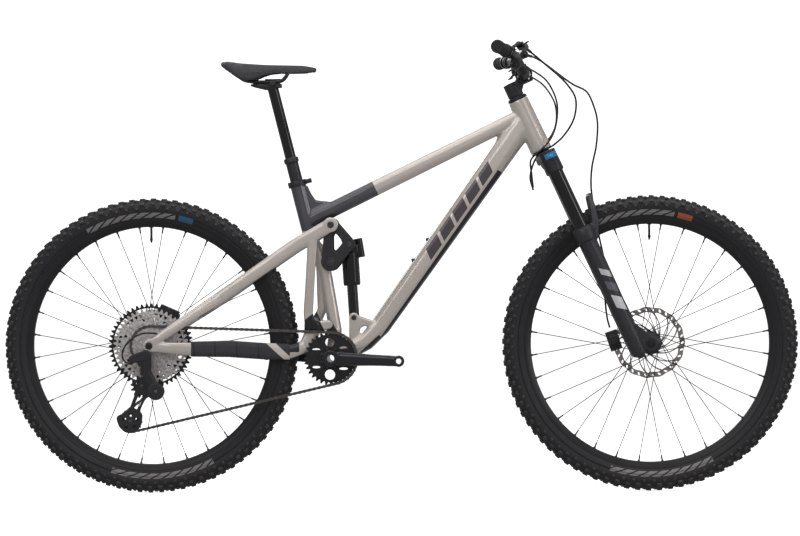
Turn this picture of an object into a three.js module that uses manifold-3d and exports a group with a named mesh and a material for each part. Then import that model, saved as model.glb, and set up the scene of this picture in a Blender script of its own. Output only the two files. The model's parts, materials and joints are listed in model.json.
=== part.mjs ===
// Full-suspension mountain bike, in millimetres.
// +X points forward, +Y to the rider's left, +Z up. The origin is on the ground, midway between the axles.
import * as THREE from 'three';
import { mergeVertices } from 'three/addons/utils/BufferGeometryUtils.js';
import Module from 'manifold-3d';

const wasm = await Module();
wasm.setup();

// ---------- driving dimensions ----------

const wheelbase = 1250;
const tyreDiameter = 740;
const tyreWidth = 61;
const tyreHeight = 54; // from the rim's edge to the tread
const rimHeight = 18.3;
const rimWidth = 33;
const spokesPerSide = 16;
const spokeCrossings = 3;
const spokeRadius = 1;

const chainstayLength = 454.2;
const bracketDrop = 33.5; // the bottom bracket is this far below the axles
const headAngle = 65.5;
const forkOffset = 44;
const headTubeStart = 551; // up the steering axis, from the foot of the front axle
const headTubeLength = 140;
const seatAngle = 76;
const seatAxisAhead = 24.3; // the seat axis passes this far in front of the bottom bracket
const seatTubeLength = 458;
const topTubeAngle = 26;

const crankLength = 170;
const crankDroop = 2.5;
const chainPitch = 12.7;
const chainLine = 48;
const chainringTeeth = 32;
const cogTeeth = [10, 12, 14, 16, 18, 21, 24, 28, 33, 39, 45, 51];
const chosenCog = 6; // the cog that the chain runs on
const cogSpacing = 3.6;
const pulleyTeeth = 13;

const rearHubHalf = 74;
const frontHubHalf = 55;
const rearAxleRadius = 6;
const frontAxleRadius = 7.5;
const rotorRadius = 90;
const rotorThickness = 1.8;
const rearRotorLine = 57.5;
const frontRotorLine = 43;

const legSpacing = 66; // each fork leg's distance from the middle
const legAhead = 9; // the legs stand this far in front of the steering axis
const stanchionRadius = 18;
const forkTravel = 150;
const sealHeight = 332;
const steererRadius = 14.3;

const shockStroke = 55;
const dropperRadius = 15.8;
const innerPostRadius = 13.9;
const dropperTop = 510; // up the seat axis
const saddleHeight = 697; // up the seat axis, where the post ends
const dropperTravel = 150;

const barHalfWidth = 390;
const barRadius = 11.1;
const clampRadius = 15.9;
const gripLength = 128;
const gripRadius = 15.5;
const stemLength = 40;
const barRise = 26; // from the stem's middle to the clamp's centre
const saddleLength = 245;
const saddleWidth = 142;

const gap = 0.3; // between pieces that touch
const bearingGap = 0.4; // between a shaft and what turns on it

// ---------- points in the side view ----------

const side = (x, z) => new THREE.Vector2(x, z);
const lift = (point, y = 0) => new THREE.Vector3(point.x, y, point.y);
const radians = THREE.MathUtils.degToRad;
const axleHeight = tyreDiameter / 2;

const rearAxle = side(-wheelbase / 2, axleHeight);
const frontAxle = side(wheelbase / 2, axleHeight);
const bracket = side(rearAxle.x + Math.sqrt(chainstayLength ** 2 - bracketDrop ** 2), axleHeight - bracketDrop);
const fromBracket = (x, z) => side(bracket.x + x, bracket.y + z);

const rockerPivot = fromBracket(-1.2, 241.4);
const stayPivot = fromBracket(0.6, 333.5);
const shockTop = fromBracket(45.5, 284.3);
const shockFoot = fromBracket(56.4, 101);
const linkPivot = fromBracket(7, 57.5);
const linkEye = fromBracket(-8, 83.5);

const headTilt = radians(90 - headAngle);
const steerFoot = side(frontAxle.x - forkOffset * Math.cos(headTilt), frontAxle.y - forkOffset * Math.sin(headTilt));
const steerPoint = (ahead, up) => side(
  steerFoot.x + ahead * Math.cos(headTilt) - up * Math.sin(headTilt),
  steerFoot.y + ahead * Math.sin(headTilt) + up * Math.cos(headTilt),
);
const seatTilt = radians(90 - seatAngle);
const seatFoot = fromBracket(seatAxisAhead, 0);
const seatPoint = (ahead, up) => side(
  seatFoot.x + ahead * Math.cos(seatTilt) - up * Math.sin(seatTilt),
  seatFoot.y + ahead * Math.sin(seatTilt) + up * Math.cos(seatTilt),
);

// ---------- materials ----------

const paint = (color, roughness, metalness) => new THREE.MeshStandardMaterial({ color, roughness, metalness });
const champagne = paint('#cfc6c4', 0.35, 0.3);
const blackMetal = paint('#26262a', 0.4, 0.6);
const darkAlloy = paint('#403f47', 0.35, 0.7);
const blackRubber = paint('#1b1b1e', 0.85, 0);
const blackPlastic = paint('#222226', 0.6, 0);
const silver = paint('#aca7a4', 0.3, 0.95);
const steel = paint('#8f8c8a', 0.35, 0.95);
const stanchionBlack = paint('#0e0d12', 0.15, 0.8);
const saddleCover = paint('#37363b', 0.7, 0);
const bandBlue = paint('#357796', 0.5, 0.2);

// ---------- making solids ----------

function closed(geometry) {
  // a three.js geometry as a solid: shared corners merged, faces pointing out
  geometry.deleteAttribute('normal');
  geometry.deleteAttribute('uv');
  const merged = mergeVertices(geometry, 1e-3);
  const points = merged.attributes.position.array;
  const corners = merged.index.array;
  const faces = [];
  let volume = 0;
  const a = new THREE.Vector3();
  const b = new THREE.Vector3();
  const c = new THREE.Vector3();
  for (let i = 0; i < corners.length; i += 3) {
    const [p, q, r] = [corners[i], corners[i + 1], corners[i + 2]];
    if (p === q || q === r || r === p) continue;
    a.fromArray(points, 3 * p);
    b.fromArray(points, 3 * q);
    c.fromArray(points, 3 * r);
    volume += a.dot(b.cross(c));
    faces.push(p, q, r);
  }
  if (volume < 0) faces.reverse();
  return new wasm.Manifold(new wasm.Mesh({
    numProp: 3,
    vertProperties: Float32Array.from(points),
    triVerts: Uint32Array.from(faces),
  }));
}

// a hole of this radius, measured to the flats of its sides
const around = (radius, steps = 12) => radius / Math.cos(Math.PI / steps);
const join = (...solids) => solids.flat().reduce((whole, piece) => whole.add(piece));
const cut = (solid, ...tools) => tools.flat().reduce((rest, tool) => rest.subtract(tool), solid);

function spin(profile, steps = 16, centre = side(0, 0)) {
  // a turned piece: [radius, y] pairs swept round the Y axis through a point of the side view
  const outline = profile.map(([radius, y]) => new THREE.Vector2(radius, y));
  if (profile[0][0] > 0) outline.push(outline[0].clone());
  return closed(new THREE.LatheGeometry(outline, steps).translate(centre.x, 0, centre.y));
}

function pin(centre, radius, from, to, steps = 12) {
  // a round bar along Y
  const geometry = new THREE.CylinderGeometry(radius, radius, to - from, steps);
  return closed(geometry.translate(centre.x, (from + to) / 2, centre.y));
}

function bar(start, end, startRadius, endRadius = startRadius, steps = 12) {
  // a round bar between two points in space
  const along = end.clone().sub(start);
  const geometry = new THREE.CylinderGeometry(endRadius, startRadius, along.length(), steps);
  const turn = new THREE.Quaternion().setFromUnitVectors(new THREE.Vector3(0, 1, 0), along.clone().normalize());
  geometry.applyQuaternion(turn);
  return closed(geometry.translate(...start.clone().add(end).multiplyScalar(0.5).toArray()));
}

function strand(start, end, radius) {
  // a thin three-sided bar with one flat towards the wheel's side
  const along = end.clone().sub(start);
  const forward = along.clone().normalize();
  const across = new THREE.Vector3(0, 1, 0).addScaledVector(forward, -forward.y).normalize();
  const basis = new THREE.Matrix4().makeBasis(across, forward, new THREE.Vector3().crossVectors(across, forward));
  const geometry = new THREE.CylinderGeometry(radius, radius, along.length(), 3).applyMatrix4(basis);
  return closed(geometry.translate(...start.clone().add(end).multiplyScalar(0.5).toArray()));
}

function plate(outline, from, to, holes = []) {
  // an outline in the side view, as thick as from..to along Y
  const shape = new THREE.Shape(outline);
  shape.holes = holes.map((hole) => new THREE.Path(hole));
  const geometry = new THREE.ExtrudeGeometry(shape, { depth: to - from, bevelEnabled: false });
  return closed(geometry.rotateX(Math.PI / 2).translate(0, to, 0));
}

function arc(centre, radius, start, end, steps) {
  // points on an arc in the side view, angles in degrees from +X towards +Z
  return Array.from({ length: steps + 1 }, (_, i) => {
    const angle = radians(start + (end - start) * i / steps);
    return side(centre.x + radius * Math.cos(angle), centre.y + radius * Math.sin(angle));
  });
}
const circle = (centre, radius, steps = 12) => arc(centre, radius, 0, 360, steps).slice(0, steps);

function capsule(start, startRadius, end, endRadius, steps = 5) {
  // the outline of a bar with round ends
  const heading = THREE.MathUtils.radToDeg(Math.atan2(end.y - start.y, end.x - start.x));
  return [
    ...arc(start, startRadius, heading + 90, heading + 270, steps),
    ...arc(end, endRadius, heading - 90, heading + 90, steps),
  ];
}

function loft(rings) {
  // a closed skin over rings of points, which all have the same count
  const count = rings[0].length;
  const points = rings.flat().flatMap((point) => point.toArray());
  const index = [];
  for (let i = 0; i + 1 < rings.length; i += 1) {
    for (let j = 0; j < count; j += 1) {
      const a = i * count + j;
      const b = i * count + (j + 1) % count;
      index.push(a, b, b + count, a, b + count, a + count);
    }
  }
  const last = (rings.length - 1) * count;
  for (let j = 1; j + 1 < count; j += 1) {
    index.push(0, j + 1, j);
    index.push(last, last + j, last + j + 1);
  }
  const geometry = new THREE.BufferGeometry();
  geometry.setAttribute('position', new THREE.Float32BufferAttribute(points, 3));
  geometry.setIndex(index);
  return closed(geometry);
}

function spar(stations, { across = new THREE.Vector3(0, 1, 0), count = 10 } = {}) {
  // a tube of changing oval section. A station has its point, its half-height h in the plane
  // of the bend, its half-width w along `across`, and its squareness (2 is an ellipse).
  return loft(stations.map((station, i) => {
    const before = stations[Math.max(i - 1, 0)].at;
    const after = stations[Math.min(i + 1, stations.length - 1)].at;
    const forward = after.clone().sub(before).normalize();
    const wide = across.clone().addScaledVector(forward, -across.dot(forward)).normalize();
    const high = new THREE.Vector3().crossVectors(forward, wide);
    return Array.from({ length: count }, (_, j) => {
      const angle = 2 * Math.PI * (j + 0.5) / count;
      const power = 2 / (station.square ?? 2);
      const c = Math.sign(Math.cos(angle)) * Math.abs(Math.cos(angle)) ** power;
      const s = Math.sign(Math.sin(angle)) * Math.abs(Math.sin(angle)) ** power;
      return station.at.clone().addScaledVector(wide, station.w * c).addScaledVector(high, station.h * s);
    });
  }));
}

const stop = (at, h, w = h, square = 2.4) => ({ at, h, w, square });

function cord(points, radius, steps, sides = 8) {
  // a hose or cable along a smooth curve through its points
  const curve = new THREE.CatmullRomCurve3(points, false, 'centripetal');
  const section = new THREE.Shape(circle(side(0, 0), radius, sides));
  return new THREE.ExtrudeGeometry(section, { steps, extrudePath: curve, bevelEnabled: false });
}

// ---------- the scene ----------

const bike = new THREE.Group();
bike.name = 'mountain_bike';

function frameAt(foot, tilt) {
  // a group whose +Z leans back by the tilt, with its origin at a point of the side view
  const group = new THREE.Group();
  group.position.copy(lift(foot));
  group.rotation.y = -tilt;
  bike.add(group);
  return group;
}
const steering = frameAt(steerFoot, headTilt);
const seating = frameAt(seatFoot, seatTilt);
const shockLean = Math.atan2(shockFoot.x - shockTop.x, shockTop.y - shockFoot.y);
const shocking = frameAt(shockFoot, shockLean);
const cranking = frameAt(bracket, radians(-crankDroop));

function add(name, solid, material, parent = bike) {
  let geometry;
  if (solid.isBufferGeometry) {
    solid.deleteAttribute('normal');
    solid.deleteAttribute('uv');
    geometry = mergeVertices(solid, 1e-3);
  } else {
    const mesh = solid.getMesh();
    geometry = new THREE.BufferGeometry();
    geometry.setAttribute('position', new THREE.Float32BufferAttribute(mesh.vertProperties, mesh.numProp));
    geometry.setIndex(Array.from(mesh.triVerts));
  }
  geometry.computeVertexNormals();
  const piece = new THREE.Mesh(geometry, material);
  piece.name = name;
  parent.add(piece);
}

// ---------- main frame ----------

const rockerSlab = { in: 28, out: 36 };
const staySlab = { in: 37, out: 49 };
const linkSlab = { in: 20, out: 27.5 };
const pivotRadius = 6;
const rockerAxleRadius = 8;
const seatTubeRadius = 19.5;
const lowerTubeRadius = 16.5;
const headTubeRadius = 25.5;
const headBore = 22;
const shellHalf = 36.5;
const shellRadius = 23;
const shellBore = 20.5;
const seatKink = 300; // up the seat axis, where the seat tube bends forward

const topTubeBack = seatPoint(0, 352);
const topTubeRun = (distance) => side(
  topTubeBack.x + distance * Math.cos(radians(topTubeAngle)),
  topTubeBack.y + distance * Math.sin(radians(topTubeAngle)),
);
const headMiddle = steerPoint(0, headTubeStart + headTubeLength / 2);
const topTubeLength = (steerPoint(0, headTubeStart + 0.75 * headTubeLength).x - topTubeBack.x)
  / Math.cos(radians(topTubeAngle));
const downTubeFoot = fromBracket(122, 79);
const downTubeHead = steerPoint(0, headTubeStart + 0.64 * headTubeLength);

function mainFrame() {
  const seatTube = spar([
    stop(lift(seatPoint(0, seatTubeLength)), seatTubeRadius, seatTubeRadius, 2),
    stop(lift(seatPoint(0, seatKink)), seatTubeRadius, seatTubeRadius, 2),
    stop(lift(fromBracket(-31, 260)), lowerTubeRadius + 2),
    stop(lift(fromBracket(-14, 205)), lowerTubeRadius),
    stop(lift(fromBracket(9, 70)), lowerTubeRadius),
    stop(lift(fromBracket(2, 5)), lowerTubeRadius + 2),
  ]);
  const topTube = spar([
    stop(lift(topTubeBack), 21, 16),
    stop(lift(topTubeRun(60)), 20.5, 19, 2.6),
    stop(lift(topTubeRun(0.7 * topTubeLength)), 19.5, 22, 3),
    stop(lift(topTubeRun(topTubeLength)), 19, 20, 2.6),
  ]);
  const downTubeMiddle = downTubeFoot.clone().lerp(downTubeHead, 0.62);
  const downTube = spar([
    stop(lift(fromBracket(4, 4)), 21, 32, 2.6),
    stop(lift(fromBracket(47, 21)), 23, 30, 2.6),
    stop(lift(fromBracket(84, 42)), 25, 27, 2.8),
    stop(lift(downTubeFoot), 25.5, 25, 3),
    stop(lift(downTubeMiddle), 30, 27, 3),
    stop(lift(downTubeHead), 33, 23, 2.6),
  ]);
  const headEnd = headTubeStart + headTubeLength;
  const headTube = bar(lift(steerPoint(0, headTubeStart)), lift(steerPoint(0, headEnd)), headTubeRadius + 2.5,
    headTubeRadius, 16);
  const brace = plate([
    seatPoint(0, seatTubeLength - 17),
    seatPoint(seatTubeRadius + 4, seatTubeLength - 17),
    seatPoint(seatTubeRadius + 8, seatTubeLength - 38),
    seatPoint(seatTubeRadius + 15, seatTubeLength - 58),
    topTubeRun(74).add(side(-6, 18)),
    topTubeRun(90),
    topTubeBack,
  ], -10, 10);
  const shell = pin(bracket, shellRadius, -shellHalf, shellHalf, 16);
  const rockerBoss = pin(rockerPivot, 18, -rockerSlab.in + gap, rockerSlab.in - gap);
  const rockerWeb = plate([
    seatPoint(0, seatKink + 30),
    rockerPivot.clone().add(side(4, 17)),
    rockerPivot.clone().add(side(4, -17)),
    fromBracket(-14, 185),
  ], -14, 14);
  const linkBoss = pin(linkPivot, 13, -linkSlab.in + gap, linkSlab.in - gap);
  const shockEars = [-1, 1].map((hand) => plate([
    ...arc(shockFoot, 13, 170, 20, 5),
    downTubeFoot.clone().add(side(-12, 12)),
    downTubeFoot.clone().add(side(-8, -12)),
    fromBracket(88, 78),
    fromBracket(74, 62),
    fromBracket(74, 42),
    fromBracket(44, 38),
  ], hand > 0 ? 16 : -22, hand > 0 ? 22 : -16));

  const seatBore = bar(lift(seatPoint(0, seatKink + 4)), lift(seatPoint(0, seatTubeLength + 5)),
    around(dropperRadius + gap), around(dropperRadius + gap));
  const headHole = bar(lift(steerPoint(0, headTubeStart - 5)), lift(steerPoint(0, headEnd + 5)), around(headBore),
    around(headBore));
  const shellHole = pin(bracket, around(shellBore), -shellHalf - 5, shellHalf + 5);
  const rockerHole = pin(rockerPivot, around(rockerAxleRadius + bearingGap), -40, 40);
  const linkHole = pin(linkPivot, around(pivotRadius + bearingGap), -40, 40);
  const solid = join(seatTube, topTube, downTube, headTube, brace, shell, rockerBoss, rockerWeb, linkBoss, shockEars);
  return cut(solid, seatBore, headHole, shellHole, rockerHole, linkHole);
}
add('main_frame', mainFrame(), champagne);

function upright(profile, steps = 16) {
  // a turned piece whose axis is +Z: [radius, z] pairs
  const outline = profile.map(([radius, z]) => new THREE.Vector2(radius, z));
  if (profile[0][0] > 0) outline.push(outline[0].clone());
  return closed(new THREE.LatheGeometry(outline, steps).rotateX(Math.PI / 2));
}

const headTop = headTubeStart + headTubeLength;
const cupInner = steererRadius + 5;
add('headset_upper_cup', upright([
  [steererRadius + bearingGap, headTop - 14], [headBore - gap, headTop - 14], [headBore - gap, headTop + gap],
  [headTubeRadius, headTop + gap], [headTubeRadius - 3, headTop + 8], [steererRadius + bearingGap, headTop + 8],
]), blackMetal, steering);
add('headset_lower_cup', upright([
  [cupInner + bearingGap, headTubeStart - 2.5], [headTubeRadius + 2, headTubeStart - 2.5],
  [headTubeRadius + 2, headTubeStart - gap], [headBore - gap, headTubeStart - gap],
  [headBore - gap, headTubeStart + 14], [cupInner + bearingGap, headTubeStart + 14],
]), blackMetal, steering);

const spindleRadius = 14.5;
const spindleBore = 9.5;
const cupEnd = 43;
add('bottom_bracket', spin([
  [spindleRadius + bearingGap, -cupEnd], [shellRadius, -cupEnd], [shellRadius, -shellHalf - gap],
  [shellBore - gap - 0.5, -shellHalf - gap], [shellBore - gap - 0.5, shellHalf + gap],
  [shellRadius, shellHalf + gap], [shellRadius, cupEnd], [spindleRadius + bearingGap, cupEnd],
], 20, bracket), blackMetal);

// ---------- seat post and saddle ----------

function seatClamp() {
  const inner = seatTubeRadius + gap + 0.2;
  const band = upright([
    [inner, seatTubeLength - 14], [inner + 3.5, seatTubeLength - 14],
    [inner + 3.5, seatTubeLength], [inner, seatTubeLength],
  ]);
  const lugs = closed(new THREE.BoxGeometry(16, 18, 11).translate(inner + 9, 0, seatTubeLength - 7));
  const slit = closed(new THREE.BoxGeometry(30, 2, 20).translate(inner + 9, 0, seatTubeLength - 7));
  const bolt = bar(new THREE.Vector3(inner + 11, -12, seatTubeLength - 7),
    new THREE.Vector3(inner + 11, 12, seatTubeLength - 7), 3.4, 3.4, 8);
  const room = bar(new THREE.Vector3(0, 0, seatTubeLength - 30), new THREE.Vector3(0, 0, seatTubeLength + 9),
    around(inner, 16), around(inner, 16), 16);
  return join(cut(join(band, lugs), slit, room), bolt);
}
add('seat_clamp', seatClamp(), blackMetal, seating);

const outerTubeFoot = seatKink + 8;
add('dropper_outer_tube', upright([
  [innerPostRadius + bearingGap, outerTubeFoot], [dropperRadius, outerTubeFoot],
  [dropperRadius, dropperTop - 12], [dropperRadius + 3, dropperTop - 9], [dropperRadius + 3, dropperTop - 1],
  [dropperRadius + 1.5, dropperTop + 2], [innerPostRadius + bearingGap, dropperTop + 2],
]), blackMetal, seating);
add('dropper_inner_tube', upright([
  [0, outerTubeFoot + dropperTravel + 4], [innerPostRadius, outerTubeFoot + dropperTravel + 4],
  [innerPostRadius, saddleHeight], [0, saddleHeight],
]), darkAlloy, seating);

const railRadius = 3.5;
const railSpread = 22;
const saddleAnchor = seatPoint(0, saddleHeight);
const fromPost = (x, y, z) => new THREE.Vector3(saddleAnchor.x + x, y, saddleAnchor.y + z);
const railHeight = 15;

function railPath() {
  const half = [
    fromPost(-0.41 * saddleLength, railSpread + 6, railHeight + 20),
    fromPost(-0.36 * saddleLength, railSpread + 3, railHeight + 8),
    fromPost(-0.28 * saddleLength, railSpread, railHeight),
    fromPost(0, railSpread, railHeight),
    fromPost(0.17 * saddleLength, railSpread, railHeight),
    fromPost(0.27 * saddleLength, railSpread - 6, railHeight + 9),
    fromPost(0.34 * saddleLength, 8, railHeight + 20),
  ];
  const mirrored = half.slice().reverse().map((point) => new THREE.Vector3(point.x, -point.y, point.z));
  return [...half, fromPost(0.35 * saddleLength, 0, railHeight + 21), ...mirrored];
}

function saddleClamp() {
  const middle = side(saddleAnchor.x, saddleAnchor.y + railHeight);
  const base = closed(new THREE.BoxGeometry(44, 34, 10).rotateY(radians(2))
    .translate(saddleAnchor.x, 0, saddleAnchor.y + 8));
  const cradle = pin(middle, 8.5, -railSpread - 6, railSpread + 6, 12);
  const boltSpots = [-15, 15];
  const bolts = boltSpots.map((x) => bar(fromPost(x, 0, 4), fromPost(x, 0, railHeight + 9), 3.2, 3.2, 8));
  const cap = closed(new THREE.BoxGeometry(40, 14, 6).translate(saddleAnchor.x, 0, middle.y + 7));
  const grooves = [-1, 1].map((hand) => bar(fromPost(-40, hand * railSpread, railHeight),
    fromPost(40, hand * railSpread, railHeight), railRadius + gap, railRadius + gap, 12));
  const postRoom = bar(lift(seatPoint(0, saddleHeight - 30)), lift(seatPoint(0, saddleHeight + gap)),
    innerPostRadius + gap, innerPostRadius + gap, 16);
  return cut(join(base, cradle, bolts, cap), grooves, postRoom);
}
add('saddle_clamp', saddleClamp(), blackMetal);
add('saddle_rails', closed(cord(railPath(), railRadius, 22)), steel);

function saddle() {
  // the shell and cover in one: nose, waist and wings, with a shallow hollow underneath
  const length = saddleLength;
  const top = railHeight + 36;
  const spots = [
    [0.483, -1, 9, 17], [0.44, 1, 14, 21], [0.3, 3, 15, 24], [0.1, 3, 15, 32],
    [-0.12, 2, 15, 0.33 * saddleWidth], [-0.3, 3, 16, 0.46 * saddleWidth],
    [-0.42, 7, 16, 0.5 * saddleWidth], [-0.497, 12, 9, 0.4 * saddleWidth],
  ];
  const rings = spots.map(([share, rise, thick, half]) => {
    const crown = top + rise;
    const drop = half > 40 ? 0.22 * half : 3;
    const section = [
      [0, crown], [0.45, crown - 1], [0.8, crown - 0.3 * drop - 3], [1, crown - drop - 7],
      [0.97, crown - drop - 12], [0.6, crown - thick], [0, crown - thick + 3],
    ];
    const right = section.slice(1, -1).reverse().map(([y, z]) => [-y, z]);
    return [...section, ...right].map(([y, z]) => fromPost(share * length, y * half, z));
  });
  return loft(rings);
}
add('saddle', saddle(), saddleCover);

// ---------- fork ----------

const legFoot = (hand, up, ahead = legAhead, y = legSpacing) => new THREE.Vector3(ahead, hand * y, up);
const crownTop = headTubeStart - 3.5;
const crownClearance = 4; // between the crown and the tyre when the fork is fully pushed in
const crownBottom = sealHeight + forkTravel + 5;
const boreFoot = 80;
const stanchionFoot = boreFoot + forkTravel + 5;

function forkUpper() {
  const across = new THREE.Vector3(1, 0, 0);
  const middle = (crownTop + crownBottom) / 2;
  const arch = spar([
    stop(new THREE.Vector3(legAhead, -legSpacing - 22, middle - 6), 18, 12),
    stop(new THREE.Vector3(legAhead, -legSpacing, middle - 3), 26, 23),
    stop(new THREE.Vector3(4, -0.5 * legSpacing, middle + 8), 20, 24),
    stop(new THREE.Vector3(0, 0, middle + 11), 19, 25),
    stop(new THREE.Vector3(4, 0.5 * legSpacing, middle + 8), 20, 24),
    stop(new THREE.Vector3(legAhead, legSpacing, middle - 3), 26, 23),
    stop(new THREE.Vector3(legAhead, legSpacing + 22, middle - 6), 18, 12),
  ], { across });
  const flatTop = closed(new THREE.BoxGeometry(120, 260, 60).translate(0, 0, crownTop + 30));
  const sockets = [-1, 1].map((hand) => bar(legFoot(hand, crownBottom), legFoot(hand, crownTop - 4), 23, 22, 12));
  const column = upright([
    [0, crownTop - 6], [cupInner, crownTop - 6], [cupInner, headTubeStart + 18],
    [steererRadius, headTubeStart + 40], [steererRadius, headTop + 46], [0, headTop + 46],
  ], 12);
  const stanchions = [-1, 1].map((hand) => bar(legFoot(hand, stanchionFoot), legFoot(hand, middle),
    stanchionRadius, stanchionRadius));
  const tyreRoom = pin(side(forkOffset, forkTravel), axleHeight + crownClearance, -44, 44, 64);
  return join(cut(arch, flatTop, tyreRoom), sockets, stanchions, column);
}
add('fork_upper', forkUpper(), blackMetal, steering);

function forkLowers() {
  const boss = side(forkOffset, 0);
  const legs = [-1, 1].map((hand) => {
    const leg = spar([
      stop(legFoot(hand, sealHeight), 24.5, 24.5, 2),
      stop(legFoot(hand, sealHeight - 14), 24.5, 24.5, 2),
      stop(legFoot(hand, sealHeight - 18), 23, 23, 2),
      stop(legFoot(hand, 190), 22, 21.5, 2),
      stop(legFoot(hand, 90), 21, 20.7, 2.2),
      stop(legFoot(hand, 55, legAhead + 1), 20, 15, 2.4),
      stop(legFoot(hand, 22, legAhead + 5), 18, 12, 2.4),
    ]);
    const dropout = plate([
      ...arc(boss, 19, -120, 60, 6),
      side(legAhead + 21, 62),
      side(legAhead - 14, 62),
      side(legAhead - 10, 12),
    ], hand > 0 ? frontHubHalf + gap : -78, hand > 0 ? 78 : -frontHubHalf - gap);
    return join(leg, dropout);
  });
  const archHalf = [
    stop(new THREE.Vector3(24, legSpacing - 4, sealHeight - 34), 10, 14),
    stop(new THREE.Vector3(legAhead + 37, legSpacing - 6, sealHeight + 2), 8, 11),
    stop(new THREE.Vector3(54, 0.72 * legSpacing, sealHeight + 34), 8, 10),
    stop(new THREE.Vector3(58, 0.36 * legSpacing, axleHeight + 22), 8, 9),
  ];
  const flip = ({ at, ...rest }) => ({ at: new THREE.Vector3(at.x, -at.y, at.z), ...rest });
  const crest = stop(new THREE.Vector3(60, 0, axleHeight + 28), 8, 9);
  const arch = spar([...archHalf, crest, ...archHalf.slice().reverse().map(flip)],
    { across: new THREE.Vector3(1, 0, 0), count: 8 });
  const boreRadius = around(stanchionRadius + bearingGap);
  const bores = [-1, 1].map((hand) => bar(legFoot(hand, boreFoot), legFoot(hand, sealHeight + 80), boreRadius));
  const axleHole = pin(boss, around(frontAxleRadius + gap), -90, 90);
  return cut(join(legs, arch), bores, axleHole);
}
add('fork_lowers', forkLowers(), blackMetal, steering);

const frontAxleEnd = 82;
add('front_axle', spin([
  [0, -frontAxleEnd - 6], [9, -frontAxleEnd - 6], [10, -78 - gap], [frontAxleRadius, -78 - gap],
  [frontAxleRadius, frontAxleEnd], [0, frontAxleEnd],
], 12, side(forkOffset, 0)), blackMetal, steering);

function caliper(centre, hub, line, rotorEdge, tilt) {
  // a brake caliper astride the rotor, open towards its centre
  const housing = closed(new THREE.BoxGeometry(30, 30, 50).rotateY(tilt).translate(centre.x, line + 3, centre.y));
  const pistons = bar(lift(centre, line - 15), lift(centre, line + 22), 13, 12, 12);
  const slot = pin(hub, rotorEdge + 1.5, line - rotorThickness, line + rotorThickness, 32);
  const window = closed(new THREE.BoxGeometry(10, 8, 24).rotateY(tilt).translate(centre.x, line, centre.y));
  return cut(join(housing, pistons), slot, window);
}
add('front_caliper', caliper(side(-35, 42), side(forkOffset, 0), frontRotorLine, rotorRadius, 0.1), blackMetal,
  steering);

// ---------- stem, bar, grips and controls ----------

const stemMiddle = headTop + 26;
const barCentre = side(stemLength, stemMiddle + barRise);

function stem() {
  const column = upright([
    [steererRadius + gap, headTop + 9], [20, headTop + 9], [20, headTop + 45], [steererRadius + gap, headTop + 45],
  ]);
  const beam = spar([
    stop(new THREE.Vector3(8, 0, stemMiddle), 15, 17, 3),
    stop(new THREE.Vector3(0.6 * stemLength, 0, stemMiddle + 0.55 * barRise), 12, 18, 3),
    stop(lift(barCentre), 13, 22, 3),
  ]);
  const face = pin(barCentre, clampRadius + 6.5, -25, 25, 14);
  const steererRoom = bar(new THREE.Vector3(0, 0, headTop - 5), new THREE.Vector3(0, 0, headTop + 60),
    around(steererRadius + gap), around(steererRadius + gap));
  const barRoom = pin(barCentre, around(clampRadius + gap) + 0.2, -60, 60);
  const split = closed(new THREE.BoxGeometry(3, 80, 60).rotateY(-0.3).translate(barCentre.x + 2, 0, barCentre.y));
  const bolts = [-17, 17].flatMap((y) => [-20, 20].map((z) => bar(
    new THREE.Vector3(barCentre.x - 10, y, barCentre.y + z), new THREE.Vector3(barCentre.x + 16, y, barCentre.y + z),
    3, 3, 6)));
  return join(cut(join(column, beam, face), steererRoom, barRoom, split), bolts);
}
add('stem', stem(), blackMetal, steering);

const barEnd = new THREE.Vector3(barCentre.x - 37.5, barHalfWidth, barCentre.y + 70);
const barBend = new THREE.Vector3(barCentre.x - 2, 118, barCentre.y + 46);
const alongBar = (y) => barBend.clone().lerp(barEnd, (Math.abs(y) - barBend.y) / (barEnd.y - barBend.y));
const barPoint = (y) => alongBar(y).setY(y);

function handlebar() {
  const half = [
    stop(new THREE.Vector3(barCentre.x, 0, barCentre.y), clampRadius, clampRadius, 2),
    stop(new THREE.Vector3(barCentre.x, 32, barCentre.y), clampRadius, clampRadius, 2),
    stop(new THREE.Vector3(barCentre.x, 56, barCentre.y + 6), 13.5, 13.5, 2),
    stop(new THREE.Vector3(barCentre.x - 1, 92, barCentre.y + 35), 12, 12, 2),
    stop(barBend, 11.6, 11.6, 2),
    stop(barPoint(0.4 * barHalfWidth), barRadius, barRadius, 2),
    stop(barEnd, barRadius, barRadius, 2),
  ];
  const other = half.slice(1).reverse().map(({ at, h, w, square }) => (
    { at: new THREE.Vector3(at.x, -at.y, at.z), h, w, square }));
  return spar([...other, ...half], { across: new THREE.Vector3(1, 0, 0) });
}
add('handlebar', handlebar(), blackMetal, steering);

function grip(hand) {
  const start = barHalfWidth - gripLength;
  const spot = (y) => barPoint(hand * y);
  const body = bar(spot(start), spot(barHalfWidth - 6), gripRadius);
  const collar = bar(spot(start), spot(start + 9), gripRadius + 1.5);
  const flange = bar(spot(barHalfWidth - 8), spot(barHalfWidth + 3), gripRadius + 1.5, gripRadius - 1);
  const room = bar(spot(start - 10), spot(barHalfWidth + gap), around(barRadius + gap));
  return cut(join(body, collar, flange), room);
}
add('grip_right', grip(-1), blackRubber, steering);
add('grip_left', grip(1), blackRubber, steering);

const clampSpot = barHalfWidth - gripLength - 32; // the brake clamp's place along the bar
const leverPivot = (hand) => barPoint(hand * (clampSpot - 4)).add(new THREE.Vector3(34, 0, 0));

function barClamp(y, hand, width, thickness) {
  const ring = bar(barPoint(hand * (y - width / 2)), barPoint(hand * (y + width / 2)), barRadius + thickness);
  const room = bar(barPoint(hand * (y - width)), barPoint(hand * (y + width)), around(barRadius + gap));
  return { ring, room };
}

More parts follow.
